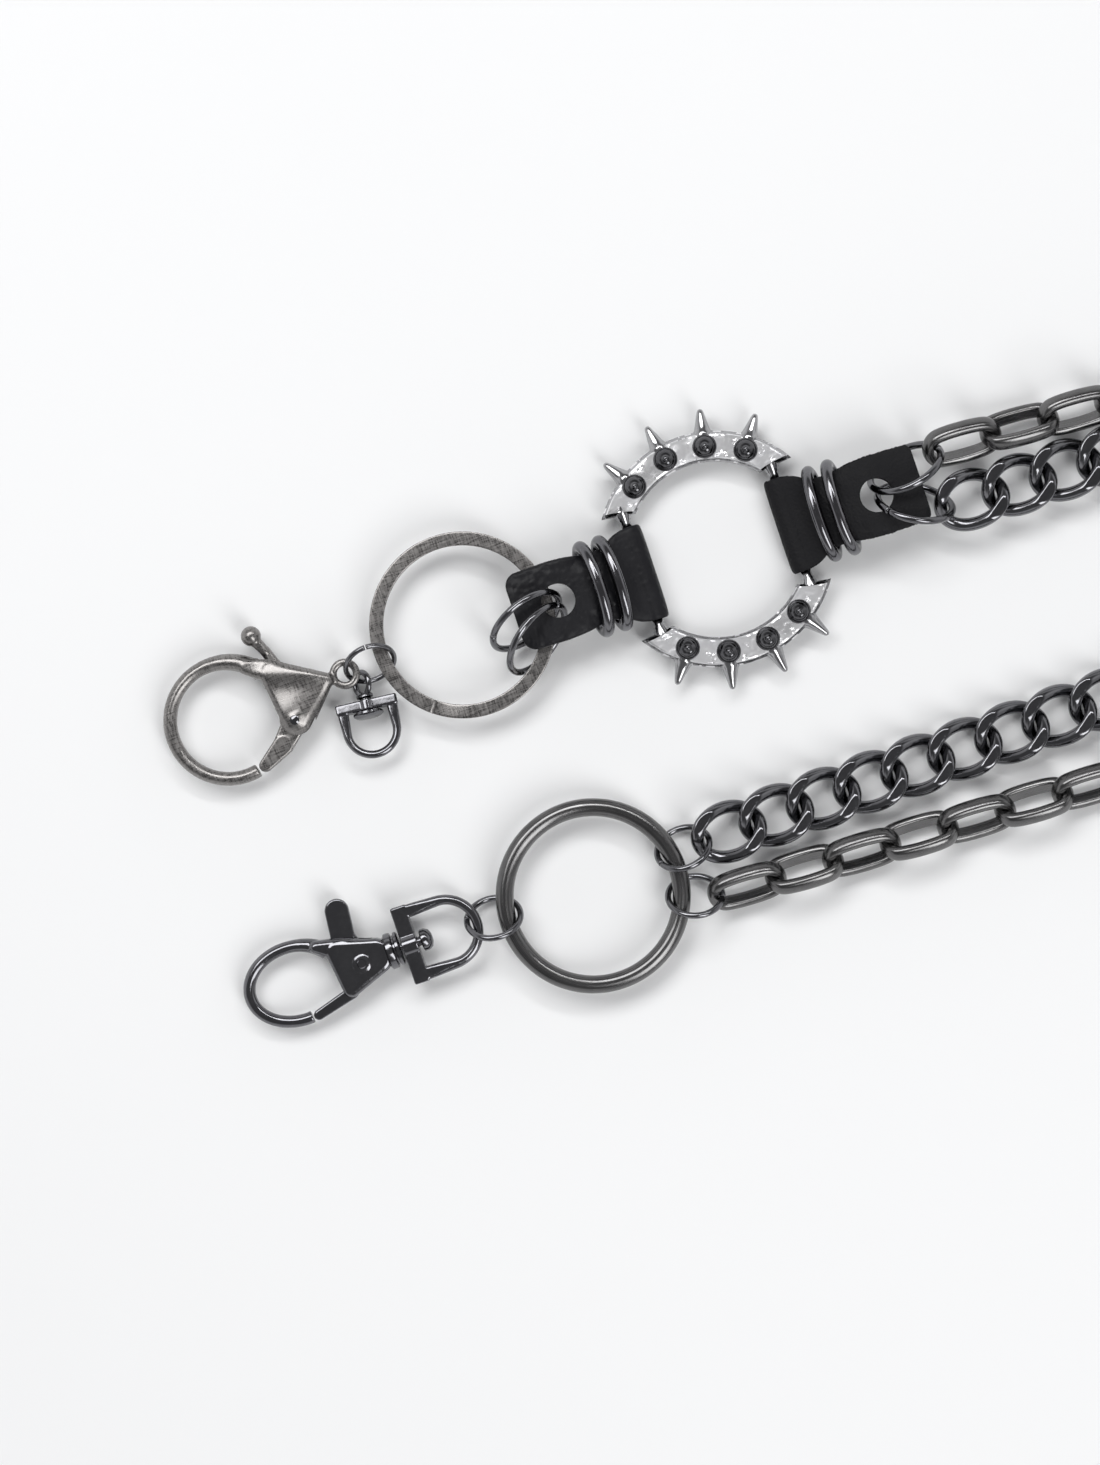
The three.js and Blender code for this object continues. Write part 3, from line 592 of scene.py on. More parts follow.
def slab(circles, thick, edge, middle=0.0, sides=96):
    """A plate round a set of circles (x, y, radius) with rounded rims."""
    rows = []
    levels = 6
    half = thick / 2
    profile = [(-half + edge - edge * math.cos(a), edge - edge * math.sin(a))
               for a in np.linspace(0, math.pi / 2, levels)]
    profile += [(-z, inset) for z, inset in reversed(profile)]
    for z, inset in profile:
        row = []
        for j in range(sides):
            turn = 2 * math.pi * j / sides
            u = Vector((math.cos(turn), math.sin(turn), 0))
            best = max(circles, key=lambda c: c[0] * u.x + c[1] * u.y + c[2])
            row.append(Vector((best[0], best[1], middle + z)) + u * max(best[2] - inset, 0.02))
        rows.append(row)
    return mesh_from("slab", rows, False)


def lathe(profile, place=None, sides=40):
    """Turns (radius, height) pairs round the Z axis."""
    rows = []
    for radius, height in profile:
        reach = max(radius, 0.01)
        row = []
        for j in range(sides):
            turn = 2 * math.pi * j / sides
            point = Vector((reach * math.cos(turn), reach * math.sin(turn), height))
            row.append(place @ point if place else point)
        rows.append(row)
    return mesh_from("lathe", rows, False)


def torus(radius, wire):
    return sweep("torus", ring_path(radius), round_wire(wire), 64, 20)


IDENTITY = Matrix.Identity(4)


def joined_piece(name, meshes, material, place):
    return finish_object(name, join_meshes(name, meshes, [IDENTITY] * len(meshes)), material, place)


def cut_away(piece, mesh):
    """Takes a closed shape, given in the piece's own space, out of the piece."""
    cutter = bpy.data.objects.new("cutter", mesh)
    bpy.context.scene.collection.objects.link(cutter)
    cutter.matrix_world = piece.matrix_world
    bpy.context.view_layer.update()
    boolean = piece.modifiers.new("cut", "BOOLEAN")
    boolean.operation = "DIFFERENCE"
    boolean.solver = "EXACT"
    boolean.object = cutter
    apply_modifiers(piece)
    bpy.data.objects.remove(cutter)


def flat_shaded_rims(piece, degrees=40):
    """Keeps edges that bend more than this crisp."""
    piece.data.set_sharp_from_angle(angle=math.radians(degrees))


# ------------------------------------------------------------------ clasps
# A clasp's plan lies in its own frame, with X along the clasp. Each circle is (x, y, radius), and a
# slab or a run of bosses is drawn round the circles of one list.
LARGE = {
    "pivot": (11.7, 4.6, 3.4), "thick": 5.4, "slot_thick": 3.0, "eye": (2.2, 0.72),
    "hook": {"centre": 23.6, "long": 10.95, "wide": 10.95, "wire": 1.25, "from": 214, "to": 460},
    "shell": [(3.6, -0.2, 1.35), (11.4, 4.3, 2.9), (12.9, -5.9, 2.1)],
    "shoulder": [(8.0, -1.6, 2.2), (12.6, -5.7, 2.3), (16.6, -8.1, 1.55)],
    "ridge": ((4.2, 0.2, 1.5), (11.7, 4.6, 3.5)),
    "neck": ((2.6, 0.0, 1.1), (5.4, -0.6, 1.7)),
    "slot": [(11.7, 4.6, 3.75), (6.9, -2.6, 0.8), (5.6, -12.5, 1.0), (12.9, -12.5, 1.0)],
    "gate": [(11.7, 4.6, 2.3), (15.6, 8.1, 1.95), (20.1, 10.45, 1.25)],
    "arm": [(11.7, 4.6, 2.3), (11.2, -5.8, 1.0), (12.4, -9.6, 1.0)],
    "knob_stem": ((12.3, -9.4, 0.95), (13.6, -12.4, 1.15)), "knob": (13.8, -13.1, 1.9),
}
SMALL = {
    "pivot": (9.6, 0.4, 3.0), "thick": 4.2, "slot_thick": 2.4,
    "hook": {"centre": 22.8, "long": 8.95, "wide": 6.95, "wire": 1.1, "from": 212, "to": 457},
    "cheeks": [(7.0, 0, 3.5), (9.6, 0.8, 3.0), (13.0, 4.2, 1.7), (13.6, -3.4, 2.0)],
    "rim": [(7.4, -1.4, 2.2), (12.4, -3.3, 2.2), (17.0, -5.3, 1.2)],
    "slot": [(9.6, 0.4, 2.8), (7.0, -8.0, 1.0), (12.2, -8.0, 1.4), (14.4, 6.4, 1.8)],
    "gate": [(9.6, 0.4, 2.2), (13.2, 5.0, 1.2), (20.5, 6.95, 1.0)],
    "arm": [(9.6, 0.4, 2.2), (11.2, -6.4, 1.4)],
    "tab": [(11.6, -5.6, 2.3), (11.1, -10.4, 2.3)],
}
SMALL_COLLAR = [(0, 1.85), (2.9, 1.85), (3.2, 2.05), (3.2, 2.55), (2.75, 2.75), (2.75, 3.0), (3.35, 3.2),
                (3.45, 3.5), (3.45, 4.3), (3.1, 4.6), (0, 4.6)]
SWIVEL_WASHER = [(0, 1.9), (1.3, 1.9), (1.6, 2.2), (1.6, 2.7), (1.1, 2.95), (0, 2.95)]
D_LOOP = {"length": 13.2, "half_width": 6.1, "wire": 0.95, "bar_thick": 3.0, "boss": 2.1, "bore": 1.15}
BAIL = {"length": 9.5, "half_width": 4.7, "wire": 0.75, "bar_thick": 2.0, "boss": 1.5, "bore": 1.15}


def clasp_frame(swing, lever, pivot):
    """The clasp's own frame, from its two joints."""
    origin = Vector(joints[swing]["pos_m"])
    up = Vector(joints[lever]["axis"])
    toward = Vector(joints[lever]["pos_m"]) - origin
    turned = Matrix.Rotation(-math.atan2(pivot[1], pivot[0]), 4, up) @ toward
    return frame_matrix(origin, turned, up)


def hook_mesh(hook, thick_at_root, flatness, grow_until):
    def path(share):
        turn = math.radians(hook["from"] + (hook["to"] - hook["from"]) * share)
        return Vector((hook["centre"] + hook["long"] * math.cos(turn), hook["wide"] * math.sin(turn), 0))

    def section(share, turn):
        grow = 1 - smooth_step(share, 0.0, grow_until)
        radial = hook["wire"] * (1.06 + 0.35 * grow)
        axial = hook["wire"] * flatness * (1 - grow) + thick_at_root / 2 * grow
        return radial * math.cos(turn), -axial * math.sin(turn)

    return sweep("hook", path, section, 120, 28, closed=False)


def lerp_circles(start, end, count):
    return [tuple(a + (b - a) * i / (count - 1) for a, b in zip(start, end)) for i in range(count)]


def blob(circle, high, sides=40):
    """A dome-faced boss round one circle, for cast shapes that swell."""
    x, y, radius = circle
    profile = [(radius * math.cos(a), high * math.sin(a)) for a in np.linspace(-math.pi / 2, math.pi / 2, 15)]
    return lathe(profile, Matrix.Translation((x, y, 0)), sides)


def swept_blobs(circles, high_start, high_end):
    """A run of overlapping domed bosses that fuse into one swelling cast arm."""
    count = len(circles)
    shapes = []
    for i, circle in enumerate(circles):
        high = high_start + (high_end - high_start) * i / max(count - 1, 1)
        shapes.append(blob(circle, high, 24))
    return shapes


def large_clasp():
    place = clasp_frame("large_clasp_swing", "large_clasp_lever_press", LARGE["pivot"])
    thick = LARGE["thick"]
    shapes = [hook_mesh(LARGE["hook"], thick * 0.86, 1.15, 0.3)]
    shapes += [slab(LARGE["shell"], thick * 0.9, 1.3), slab(LARGE["shoulder"], thick * 0.84, 1.1)]
    shapes += swept_blobs(lerp_circles(*LARGE["ridge"], 9), 1.9, thick / 2)
    shapes += swept_blobs(lerp_circles(*LARGE["neck"], 5), 1.2, 2.0)
    shapes.append(torus(*LARGE["eye"]))
    body = joined_piece("large_clasp_body_fine", shapes, HAZY, place)
    soften(body, 0.2, 10)
    swell(body)
    cut_away(body, slab(LARGE["slot"], 2.7, 0.2))
    flat_shaded_rims(body)
    place_piece(body, "large_clasp", "gunmetal_satin", "large_clasp_body")
    large_lever(place)
    rivet("large_clasp", place, LARGE, 0.3, None)
    lever_spring("large_clasp", place, LARGE, 1.0)


# The lobe's middle, and how softly the lobe and the ridge fall away, in square millimetres.
SWELL = {"lobe_x": 11.4, "lobe_y": 3.4, "lobe_spread": 20, "ridge_spread": 3.2,
         "fade_from": 14, "fade_to": 17.5}


def swell(body):
    """Raises the shell's lobe and sinks a valley beside its ridge, as a cast spoon shape."""
    for vertex in body.data.vertices:
        x, y = vertex.co.x / MM, vertex.co.y / MM
        if x > SWELL["fade_to"]:
            continue
        lobe = math.exp(-((x - SWELL["lobe_x"]) ** 2 + (y - SWELL["lobe_y"]) ** 2) / SWELL["lobe_spread"])
        off_ridge = y + 1.6 + 0.38 * (x - 4)
        ridge = math.exp(-(off_ridge ** 2) / SWELL["ridge_spread"]) * smooth_step(x, 2, 6)
        fade = smooth_step(x, SWELL["fade_from"], SWELL["fade_to"])
        vertex.co.z *= (0.76 + 0.34 * lobe + 0.22 * ridge * (1 - lobe)) * (1 - fade) + fade


def large_lever(place):
    gate, arm, knob = LARGE["gate"], LARGE["arm"], LARGE["knob"]
    shapes = [slab(gate[:2], 2.1, 0.35), slab(gate[1:], 2.3, 0.4)]
    shapes += [slab(arm[:2], 1.5, 0.4, -0.4), slab(arm[1:], 1.9, 0.7, -0.3)]
    shapes += swept_blobs(lerp_circles(*LARGE["knob_stem"], 8), 0.95, 1.15)
    shapes.append(blob(knob, knob[2]))
    lever = joined_piece("large_clasp_lever_fine", shapes, HAZY, place)
    soften(lever, 0.16, 4)
    place_piece(lever, "large_clasp_lever", "gunmetal_satin", "large_clasp_lever")


def rivet(name, place, size, radius, bore):
    """A pin through the cheeks with a rolled rim; a bored one is a tube."""
    x, y = size["pivot"][:2]
    half = size["thick"] / 2
    proud = 0.3
    outer = radius + 0.6
    side = [(outer - 0.3, half + proud), (outer, half + proud * 0.5), (outer, half - 0.35),
            (radius, half - 0.4)]
    profile = [(inner, -z) for inner, z in side] + [(inner, z) for inner, z in reversed(side)]
    if bore:
        tube = [(bore + 0.12, half + proud), (bore, half - 0.1), (bore, -half + 0.1),
                (bore + 0.12, -half - proud)]
        mesh = mesh_from("rivet", ring_rows(profile + tube, x, y), True)
    else:
        profile = [(0, -half - proud * 1.1)] + profile + [(0, half + proud * 1.1)]
        mesh = lathe(profile, Matrix.Translation((x, y, 0)))
    piece = finish_object(f"{name}_rivet_fine", mesh, GLOSS, place)
    flat_shaded_rims(piece, 50)
    place_piece(piece, name, "gunmetal_gloss", f"{name}_rivet")


def ring_rows(profile, x, y, sides=40):
    rows = []
    for radius, height in profile:
        row = []
        for j in range(sides):
            turn = 2 * math.pi * j / sides
            row.append(Vector((x + radius * math.cos(turn), y + radius * math.sin(turn), height)))
        rows.append(row)
    return rows


def lever_spring(name, place, size, pin):
    """A torsion spring of thin wire coiled round the rivet inside the slot."""
    x, y = size["pivot"][:2]
    radius = pin + 0.7
    low, high = size["slot_thick"] * 0.22, size["slot_thick"] / 2 - 0.3

    def path(share):
        turn = 2 * math.pi * 1.8 * share
        return Vector((x + radius * math.cos(turn), y + radius * math.sin(turn), low + (high - low) * share))

    mesh = sweep("spring", path, round_wire(0.15), 60, 10, closed=False)
    piece = finish_object(f"{name}_lever_spring_fine", mesh, SPRING, place)
    place_piece(piece, name, "spring_steel", f"{name}_lever_spring")


def stem_profile(radius, start, head, head_at, head_length):
    """A pin from start to a domed head, along +Z."""
    return [(0, start), (radius, start), (radius, head_at), (head * 0.9, head_at), (head, head_at + 0.2),
            (head, head_at + head_length * 0.45), (head * 0.8, head_at + head_length * 0.8),
            (head * 0.4, head_at + head_length * 0.97), (0, head_at + head_length)]


ALONG_X = Matrix.Rotation(math.radians(90), 4, "Y")
ALONG_MINUS_X = Matrix.Rotation(math.radians(-90), 4, "Y")


def small_clasp():
    place = clasp_frame("small_clasp_swivel", "small_clasp_lever_press", SMALL["pivot"])
    shapes = [hook_mesh(SMALL["hook"], SMALL["thick"] * 0.8, 1.08, 0.22)]
    shapes += [slab(SMALL["cheeks"], SMALL["thick"], 1.0), slab(SMALL["rim"], SMALL["thick"] * 0.94, 1.1)]
    body = joined_piece("small_clasp_body_fine", shapes, GLOSS, place)
    soften(body, 0.16, 4)
    cut_away(body, slab(SMALL["slot"], 2.2, 0.15))
    stem = stem_profile(0.9, -4.2, 2.1, 2.25, 2.2)
    meshes = [lathe(SMALL_COLLAR, ALONG_X), lathe(stem, ALONG_MINUS_X)]
    turned = joined_piece("small_clasp_collar", meshes, GLOSS, place)
    flat_shaded_rims(turned, 45)
    place_piece(turned, "small_clasp", "gunmetal_gloss")
    flat_shaded_rims(body)
    place_piece(body, "small_clasp", "gunmetal_gloss", "small_clasp_body")
    small_lever(place)
    rivet("small_clasp", place, SMALL, 1.2, 0.75)
    lever_spring("small_clasp", place, SMALL, 1.2)


def small_lever(place):
    gate = SMALL["gate"]
    low = -0.45
    shapes = [slab(gate[:2], 1.2, 0.2, low), slab(gate[1:], 2.0, 0.4, -0.1)]
    shapes += [slab(SMALL["arm"], 1.1, 0.2, low), slab(SMALL["tab"], 1.3, 0.35, low)]
    lever = joined_piece("small_clasp_lever_fine", shapes, GLOSS, place)
    soften(lever, 0.14, 3)
    place_piece(lever, "small_clasp_lever", "gunmetal_gloss", "small_clasp_lever")


def crossbar_loop(name, place, size):
    """A squared bar whose two legs round into a wire end; the bar carries a bored boss."""
    length, half, wire = size["length"], size["half_width"], size["wire"]
    legs = length - half  # from the bar's middle to where the round end starts

    def path(share):
        travel = share * (2 * legs + math.pi * half) - legs
        if travel < 0:
            return Vector((legs + travel, -half, 0))
        if travel > math.pi * half:
            return Vector((legs - (travel - math.pi * half), half, 0))
        turn = travel / half - math.pi / 2
        return Vector((legs + half * math.cos(turn), half * math.sin(turn), 0))

    def section(share, turn):
        square = 1 - smooth_step(min(share, 1 - share), 0.02, 0.3)
        c, s = math.cos(turn), math.sin(turn)
        power = 1 - 0.6 * square
        wide = wire * (1 + 0.35 * square)
        return (wide * math.copysign(abs(c) ** power, c), -wide * math.copysign(abs(s) ** power, s))

    shapes = [sweep("loop", path, section, 110, 24, closed=False)]
    bar_half = size["bar_thick"] / 2
    corner = wire * 1.1
    ends = [(x, y, 0.35) for x in (0.35 - bar_half, bar_half - 0.35) for y in (-half - corner, half + corner)]
    shapes.append(slab(ends, 2 * wire + 0.7, 0.3))
    boss = [(0, -bar_half), (size["boss"], -bar_half), (size["boss"], bar_half), (0, bar_half)]
    shapes.append(lathe(boss, ALONG_X))
    piece = joined_piece(f"{name}_fine", shapes, GLOSS, place)
    soften(piece, 0.13, 3)
    through = bar_half + 1
    bore = [(0, -through), (size["bore"], -through), (size["bore"], through), (0, through)]
    cut_away(piece, lathe(bore, ALONG_X))
    flat_shaded_rims(piece)
    place_piece(piece, name, "gunmetal_gloss", name)


def small_d_loop():
    clasp = clasp_frame("small_clasp_swivel", "small_clasp_lever_press", SMALL["pivot"])
    place = clasp @ Matrix.Rotation(math.pi, 4, "Z")
    crossbar_loop("small_clasp_d_loop", place, D_LOOP)


def spare_swivel():
    """A small eye with a turning stem, and a bail that hangs free on it."""
    joint = joints["swivel_swing"]
    origin = Vector(joint["pos_m"])
    along_x = Vector(joints["swivel_bail_turn"]["axis"])
    eye_place = frame_matrix(origin, along_x, joint["axis"])
    shank = stem_profile(0.9, 1.9, 2.9, 5.5, 1.2)
    shapes = [torus(2.2, 0.55), lathe(shank, ALONG_X), lathe(SWIVEL_WASHER, ALONG_X)]
    eye = joined_piece("swivel_eye_fine", shapes, GLOSS, eye_place)
    flat_shaded_rims(eye, 45)
    place_piece(eye, "swivel_eye", "gunmetal_gloss", "swivel_eye")
    bail_origin = Vector(joints["swivel_bail_turn"]["pos_m"])
    place = frame_matrix(bail_origin, along_x, Vector((0, 0, 1)))
    crossbar_loop("swivel_bail", place, BAIL)


large_clasp()
small_clasp()
small_d_loop()
spare_swivel()

# ------------------------------------------------------------------ spiked ring
SPIKED = {"outer": 22.2, "inner": 16.5, "thick": 3.0, "span": 29.3, "bar": 1.0}
CRESCENT = {"outer_half": 57.5, "inner_half": 48.0, "bevel": 0.75, "beaten_depth": 0.11, "steps": 180}
SPIKE_PROFILE = [(0, -1.2), (1.85, -1.2), (1.85, 0.2), (1.78, 0.5), (1.55, 0.9), (1.3, 1.7), (1.02, 2.8),
                 (0.76, 3.8), (0.6, 4.4), (0.4, 4.75), (0, 4.9)]
STUD_PROFILE = [(0, -0.5), (2.3, -0.5), (2.3, 0.0), (2.22, 0.28), (2.0, 0.5), (1.86, 0.48), (1.72, 0.75),
                (1.3, 1.15), (0.86, 1.4), (0.66, 1.48), (0.58, 1.72), (0.3, 1.96), (0, 2.0)]
SPIKE_STEPS = (-34.5, -11.5, 11.5, 34.5)

ring_middle = (Vector(joints["spiked_ring_fold"]["pos_m"]) + Vector(joints["left_strap_fold"]["pos_m"])) / 2
ring_across = Vector(joints["spiked_ring_fold"]["pos_m"]) - Vector(joints["left_strap_fold"]["pos_m"])
SPIKED_PLACE = frame_matrix(ring_middle, ring_across, (0, 0, 1))


def crescent_mesh(middle):
    """A flat bow with bevelled rims and a beaten face, thinner towards its slanted ends."""
    half_width = (SPIKED["outer"] - SPIKED["inner"]) / 2
    mid_radius = (SPIKED["outer"] + SPIKED["inner"]) / 2
    half = SPIKED["thick"] / 2
    bevel = CRESCENT["bevel"]
    across = 22
    rows = []
    for i in range(CRESCENT["steps"] + 1):
        u = 2 * i / CRESCENT["steps"] - 1
        near_end = smooth_step(abs(u), 0.965, 1.0)
        high = half - bevel * near_end * 0.9
        section = []
        for k in range(across + 1):
            v = 2 * k / across - 1
            edge = smooth_step(abs(v), 1 - bevel / half_width, 1.0)
            section.append((v, high - bevel * edge))
        section += [(1, -high + bevel * 0.4), (0.9, -high), (-0.9, -high), (-1, -high + bevel * 0.4)]
        row = []
        for v, z in section:
            limit = CRESCENT["inner_half"] + (CRESCENT["outer_half"] - CRESCENT["inner_half"]) * (v + 1) / 2
            turn = math.radians(middle + u * limit)
            radius = mid_radius + v * half_width
            point = Vector((radius * math.cos(turn), radius * math.sin(turn), z))
            if z > 0:
                beaten = noise.noise(point * 0.4) + 0.35 * noise.noise(point * 1.5)
                point.z += CRESCENT["beaten_depth"] * beaten * (1 - near_end)
            row.append(point)
        rows.append(row)
    return mesh_from("crescent", rows, False)


def radial_place(heading, radius, height, upright):
    turn = math.radians(heading)
    spot = Vector((radius * math.cos(turn), radius * math.sin(turn), height))
    if upright:
        return Matrix.Translation(spot)
    return Matrix.Translation(spot) @ Matrix.Rotation(turn, 4, "Z") @ ALONG_X


def spiked_ring():
    faces, spikes, studs = [], [], []
    stud_radius = (SPIKED["outer"] + SPIKED["inner"]) / 2
    for middle in (90, 270):
        faces.append(crescent_mesh(middle))
        for step in SPIKE_STEPS:
            heading = middle + step
            spikes.append(lathe(SPIKE_PROFILE, radial_place(heading, SPIKED["outer"] - 0.6, 0, False)))
            studs.append(lathe(STUD_PROFILE, radial_place(heading, stud_radius, SPIKED["thick"] / 2, True)))
    bars = []
    for side in (-1, 1):
        spot = Matrix.Translation((side * SPIKED["span"] / 2, 0, 0)) @ Matrix.Rotation(math.pi / 2, 4, "X")
        collar = [(0, -13.2), (1.45, -13.2), (1.45, -11.2), (1.25, -10.9), (1.25, -10.5), (1.0, -10.2)]
        bars.append(lathe(collar + [(radius, -z) for radius, z in reversed(collar)], spot))
    ring = joined_piece("spiked_ring_face", faces, HAMMERED_PAINTED_HIGHLIGHT, SPIKED_PLACE)
    ring.data.materials.append(CHROME)
    # Upward faces take the bright hammered colour, a painted highlight; the rims, ends and underside take the
    # chrome.
    for polygon in ring.data.polygons:
        polygon.material_index = 0 if polygon.normal.z > 0.8 else 1
    flat_shaded_rims(ring, 32)
    place_piece(ring, "spiked_ring", "dark_chrome", "spiked_ring")
    for name, meshes, material in (("spiked_ring_spikes", spikes, CHROME), ("spiked_ring_studs", studs, STUD),
                                   ("spiked_ring_bars", bars, CHROME)):
        piece = joined_piece(name, meshes, material, SPIKED_PLACE)
        flat_shaded_rims(piece, 50)
        place_piece(piece, "spiked_ring", "dark_chrome")


spiked_ring()

# ------------------------------------------------------------------ leather straps
STRAP = {"leather": 1.3, "hole": 16.6, "end": 25.2, "hole_radius": 3.2, "rise": 5.3, "bar_gap": 1.3,
         "wrap_start": 3.4, "waist": 7.8, "waist_reach": 3.2, "pinch_reach": 6.5, "sag": 0.35}
BAND = {"wide": 8.25, "high": 4.4, "wire": 1.15}
# Distance from the bar against half the strap's width, and against the height of its middle.
STRAP_PLAN = [(-3.0, 9.15), (0.8, 9.05), (2.6, 8.7), (3.9, 8.1), (4.9, 7.4), (6.0, 6.85), (7.8, 6.65),
              (9.7, 6.7), (11.2, 7.0), (13.0, 7.35), (16.6, 7.6), (22.6, 7.45), (25.2, 7.3)]
STRAP_HEIGHTS = [(0, 0), (2.0, 0.9), (4.0, 1.9), (6.0, 2.75), (7.85, 3.29), (11.0, 4.45), (14.0, 5.1),
                 (16.6, 5.3), (20.0, 5.38), (25.2, 5.3)]


def smooth_table(table, x):
    xs = [row[0] for row in table]
    ys = [row[1] for row in table]
    near = np.linspace(-0.9, 0.9, 7)
    return float(np.mean([np.interp(x + step, xs, ys) for step in near]))


def strap_half_width(x, corner):
    half = smooth_table(STRAP_PLAN, x)
    into = x - (STRAP["end"] - corner)
    if into <= 0:
        return half
    into = min(into, corner)
    return half - corner + math.sqrt(max(corner * corner - into * into, 0.0))


def strap_route(layer_gap):
    """Middle line of one strip: along the top layer, round the bar, back along the bottom layer."""
    wrap = STRAP["bar_gap"] + STRAP["leather"] / 2
    end = STRAP["end"]
    xs = [end - (end - STRAP["wrap_start"]) * share for share in np.linspace(0, 1, 80)]
    top = [(x, smooth_table(STRAP_HEIGHTS, x) + layer_gap) for x in xs]
    bottom = [(x, smooth_table(STRAP_HEIGHTS, x) - layer_gap) for x in reversed(xs)]
    turns = np.linspace(math.radians(62), math.radians(298), 40)
    around = [(wrap * math.cos(turn), wrap * math.sin(turn)) for turn in turns]
    return top + around + bottom


def resample(points, count):
    path = np.array(points)
    for _ in range(2):
        path[1:-1] = (path[:-2] + path[1:-1] * 2 + path[2:]) / 4
    reach = np.concatenate([[0], np.cumsum(np.linalg.norm(np.diff(path, axis=0), axis=1))])
    # Closer rows near both ends, where the corners are rounded.
    shares = (1 - np.cos(np.linspace(0, math.pi, count))) / 2
    shares = 0.55 * shares + 0.45 * np.linspace(0, 1, count)
    at = shares * reach[-1]
    return np.stack([np.interp(at, reach, path[:, k]) for k in (0, 1)], axis=1), shares


def strap_mesh(seed, fuzz, corner):
    """The folded strip: pinched at the waist by its bands, crowned, creased, and frayed by fuzz."""
    thick = STRAP["leather"] - 0.04
    path, shares = resample(strap_route(STRAP["leather"] / 2 + 0.02), 300)
    across = 56
    rows = []
    count = len(path)
    for i in range(count):
        x, z = path[i]
        ahead = path[min(i + 1, count - 1)] - path[max(i - 1, 0)]
        ahead = ahead / np.linalg.norm(ahead)
        normal = Vector((-ahead[1], 0, ahead[0])) * -1
        top = 1 if i < count / 2 else -1
        half = strap_half_width(x, corner)
        waist = math.exp(-((x - STRAP["waist"]) / STRAP["waist_reach"]) ** 2)
        spread = math.exp(-((x - STRAP["waist"]) / STRAP["pinch_reach"]) ** 2)
        coarse = noise.noise(Vector((x * 2.3, seed, top)))
        fine = noise.noise(Vector((x * 7.1, seed, top)))
        ragged = fuzz * (coarse + 0.6 * fine)
        row = []
        for k in range(across):
            turn = 2 * math.pi * k / across
            c, s = math.cos(turn), math.sin(turn)
            y = (half + ragged) * math.copysign(abs(c) ** 0.35, c)
            skin = thick / 2 * math.copysign(abs(s) ** 0.5, s) * min(1.0, (1 - abs(c) ** 14) ** 0.5 + 0.05)
            share = y / max(half, 0.1)
            crown = (1.0 * waist + 0.35 * spread) * (1 - share * share) * top - 0.5 * waist * share ** 4 * top
            wave = math.sin(share * 7.5 + 2.1 * math.sin(x * 0.45 + seed) + seed)
            folds = 0.5 * (spread - 0.45 * waist) * wave * (1 - 0.5 * share * share)
            creases = 0.16 * noise.noise(Vector((x * 0.5 + seed, y * 0.8, top * 3.0)))
            creases += 0.07 * noise.noise(Vector((x * 1.7, y * 2.2 + seed, top * 3.0)))
            sag = -STRAP["sag"] * share * share * smooth_step(x, 14, 25)
            away = smooth_step(x, 1.5, 4.0)
            surface = (folds * 0.6 + creases) if top > 0 else 0
            lift = Vector((0, 0, (crown + sag + surface) * away))
            row.append(Vector((x, y, z)) + normal * skin + lift)
        rows.append(row)
    return mesh_from("strap", rows, False)


def strap_band(node):
    def path(share):
        turn = 2 * math.pi * share
        return Vector((BAND["wide"] * math.cos(turn), BAND["high"] * math.sin(turn), 0))

    mesh = sweep(f"{node}_fine", path, round_wire(BAND["wire"]), 120, 28)
    piece = finish_object(f"{node}_fine", mesh, GLOSS, fitted_frame(node))
    place_piece(piece, node, "gunmetal_gloss", node)


def strap(side, joint, heading_sign, material, seed, fuzz, corner):
    bar = Vector(joints[joint]["pos_m"])
    place = frame_matrix(bar, ring_across * heading_sign, (0, 0, 1))
    piece = finish_object(f"{side}_strap_leather", strap_mesh(seed, fuzz, corner), material, place)
    hole = lathe([(0, -6), (STRAP["hole_radius"], -6), (STRAP["hole_radius"], 9), (0, 9)],
                 Matrix.Translation((STRAP["hole"], 0, STRAP["rise"])), 48)
    cut_away(piece, hole)
    flat_shaded_rims(piece, 55)
    place_piece(piece, f"{side}_strap", "black_leather", f"{side}_strap")
    for index in (1, 2):
        strap_band(f"{side}_strap_band_{index}")


strap("right", "spiked_ring_fold", 1, SUEDE, 1.7, 0.16, 1.2)
strap("left", "left_strap_fold", -1, LEATHER, 4.2, 0.03, 2.4)


# ------------------------------------------------------------------ studio
def floor():
    bpy.ops.mesh.primitive_plane_add(size=4, location=(-0.1, -0.03, 0))
    plane = bpy.context.object
    plane.name = "studio_floor"
    material, nodes, links, shader = new_material("studio_floor")
    cloud = noise_factor(nodes, links, 3, 2)
    links.new(mix_colours(nodes, links, cloud, (0.84, 0.845, 0.85), (0.88, 0.883, 0.886)),
              shader.inputs["Base Color"])
    shader.inputs["Roughness"].default_value = 0.6
    plane.data.materials.append(material)


def soft_light(name, offset, size, power):
    data = bpy.data.lights.new(name, "AREA")
    data.shape = "RECTANGLE"
    data.size, data.size_y = size
    data.energy = power
    lamp = bpy.data.objects.new(name, data)
    bpy.context.scene.collection.objects.link(lamp)
    lamp.location = view_centre + Vector(offset)
    lamp.rotation_euler = (-Vector(offset)).to_track_quat("-Z", "Y").to_euler()


TENT = {"noise": 1.6, "lift": 0.9, "bright_at": 0.78, "dark_at": 1.02, "strength": 0.9,
        "bright": (0.95, 0.95, 0.96, 1), "dark": (0.2, 0.2, 0.205, 1)}


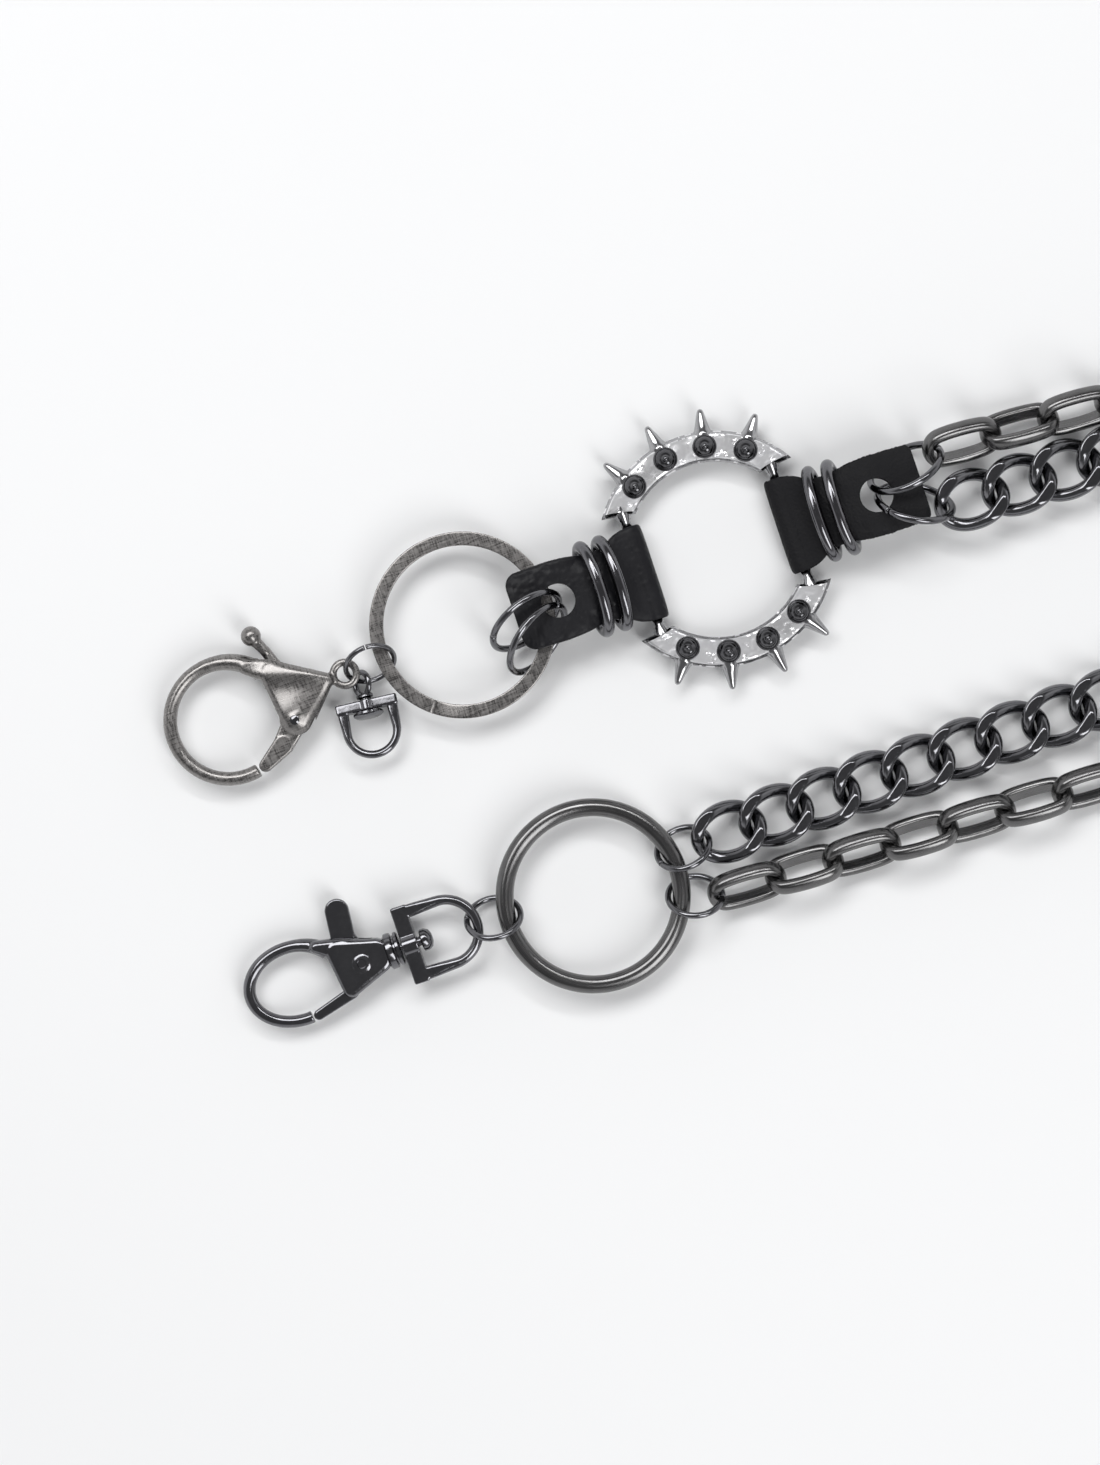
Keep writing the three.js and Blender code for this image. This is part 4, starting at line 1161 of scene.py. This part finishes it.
def world():
    """A light tent: bright near the horizon, dark overhead where the photographer stands."""
    scene_world = bpy.data.worlds.new("studio_world")
    bpy.context.scene.world = scene_world
    scene_world.use_nodes = True
    nodes = scene_world.node_tree.nodes
    links = scene_world.node_tree.links
    place = nodes.new("ShaderNodeTexCoord")
    texture = nodes.new("ShaderNodeTexNoise")
    texture.inputs["Scale"].default_value = TENT["noise"]
    texture.inputs["Detail"].default_value = 1.0
    links.new(place.outputs["Generated"], texture.inputs["Vector"])
    split = nodes.new("ShaderNodeSeparateXYZ")
    links.new(place.outputs["Generated"], split.inputs["Vector"])
    wobble = nodes.new("ShaderNodeMath")
    wobble.operation = "MULTIPLY_ADD"
    wobble.inputs[1].default_value = TENT["lift"]
    links.new(texture.outputs["Fac"], wobble.inputs[0])
    links.new(split.outputs["Z"], wobble.inputs[2])
    ramp = nodes.new("ShaderNodeValToRGB")
    ramp.color_ramp.elements[0].position = TENT["bright_at"]
    ramp.color_ramp.elements[0].color = TENT["bright"]
    ramp.color_ramp.elements[1].position = TENT["dark_at"]
    ramp.color_ramp.elements[1].color = TENT["dark"]
    links.new(wobble.outputs["Value"], ramp.inputs["Fac"])
    links.new(ramp.outputs["Color"], nodes["Background"].inputs["Color"])
    nodes["Background"].inputs["Strength"].default_value = TENT["strength"]


# Metres. The camera looks straight down on a point beside the wire ring.
FRAME_HEIGHT = 0.2764
CAMERA_HEIGHT = 0.75
RING_FROM_VIEW_CENTRE = Vector((0.0081, -0.0306))
# Name, place from the view's centre in metres, width and depth in metres, and watts.
LIGHTS = [
    ("key", (-0.4, 0.5, 1.0), (0.9, 0.45), 6.8),
    ("fill", (0.5, -0.55, 0.9), (0.4, 0.9), 5.6),
    ("edge", (0.25, 0.75, 1.0), (0.8, 0.12), 3),
]
ring_at = Vector(joints["wire_ring_turn"]["pos_m"])
view_centre = Vector((ring_at.x - RING_FROM_VIEW_CENTRE.x, ring_at.y - RING_FROM_VIEW_CENTRE.y, 0))


def camera():
    data = bpy.data.cameras.new("camera")
    data.sensor_fit = "VERTICAL"
    data.sensor_height = 24
    data.lens = data.sensor_height * CAMERA_HEIGHT / FRAME_HEIGHT
    rig = bpy.data.objects.new("camera", data)
    bpy.context.scene.collection.objects.link(rig)
    rig.location = view_centre + Vector((0, 0, CAMERA_HEIGHT))
    bpy.context.scene.camera = rig


floor()
for light_name, offset, size, power in LIGHTS:
    soft_light(light_name, offset, size, power)
world()
camera()
bpy.context.scene.view_settings.view_transform = "Standard"
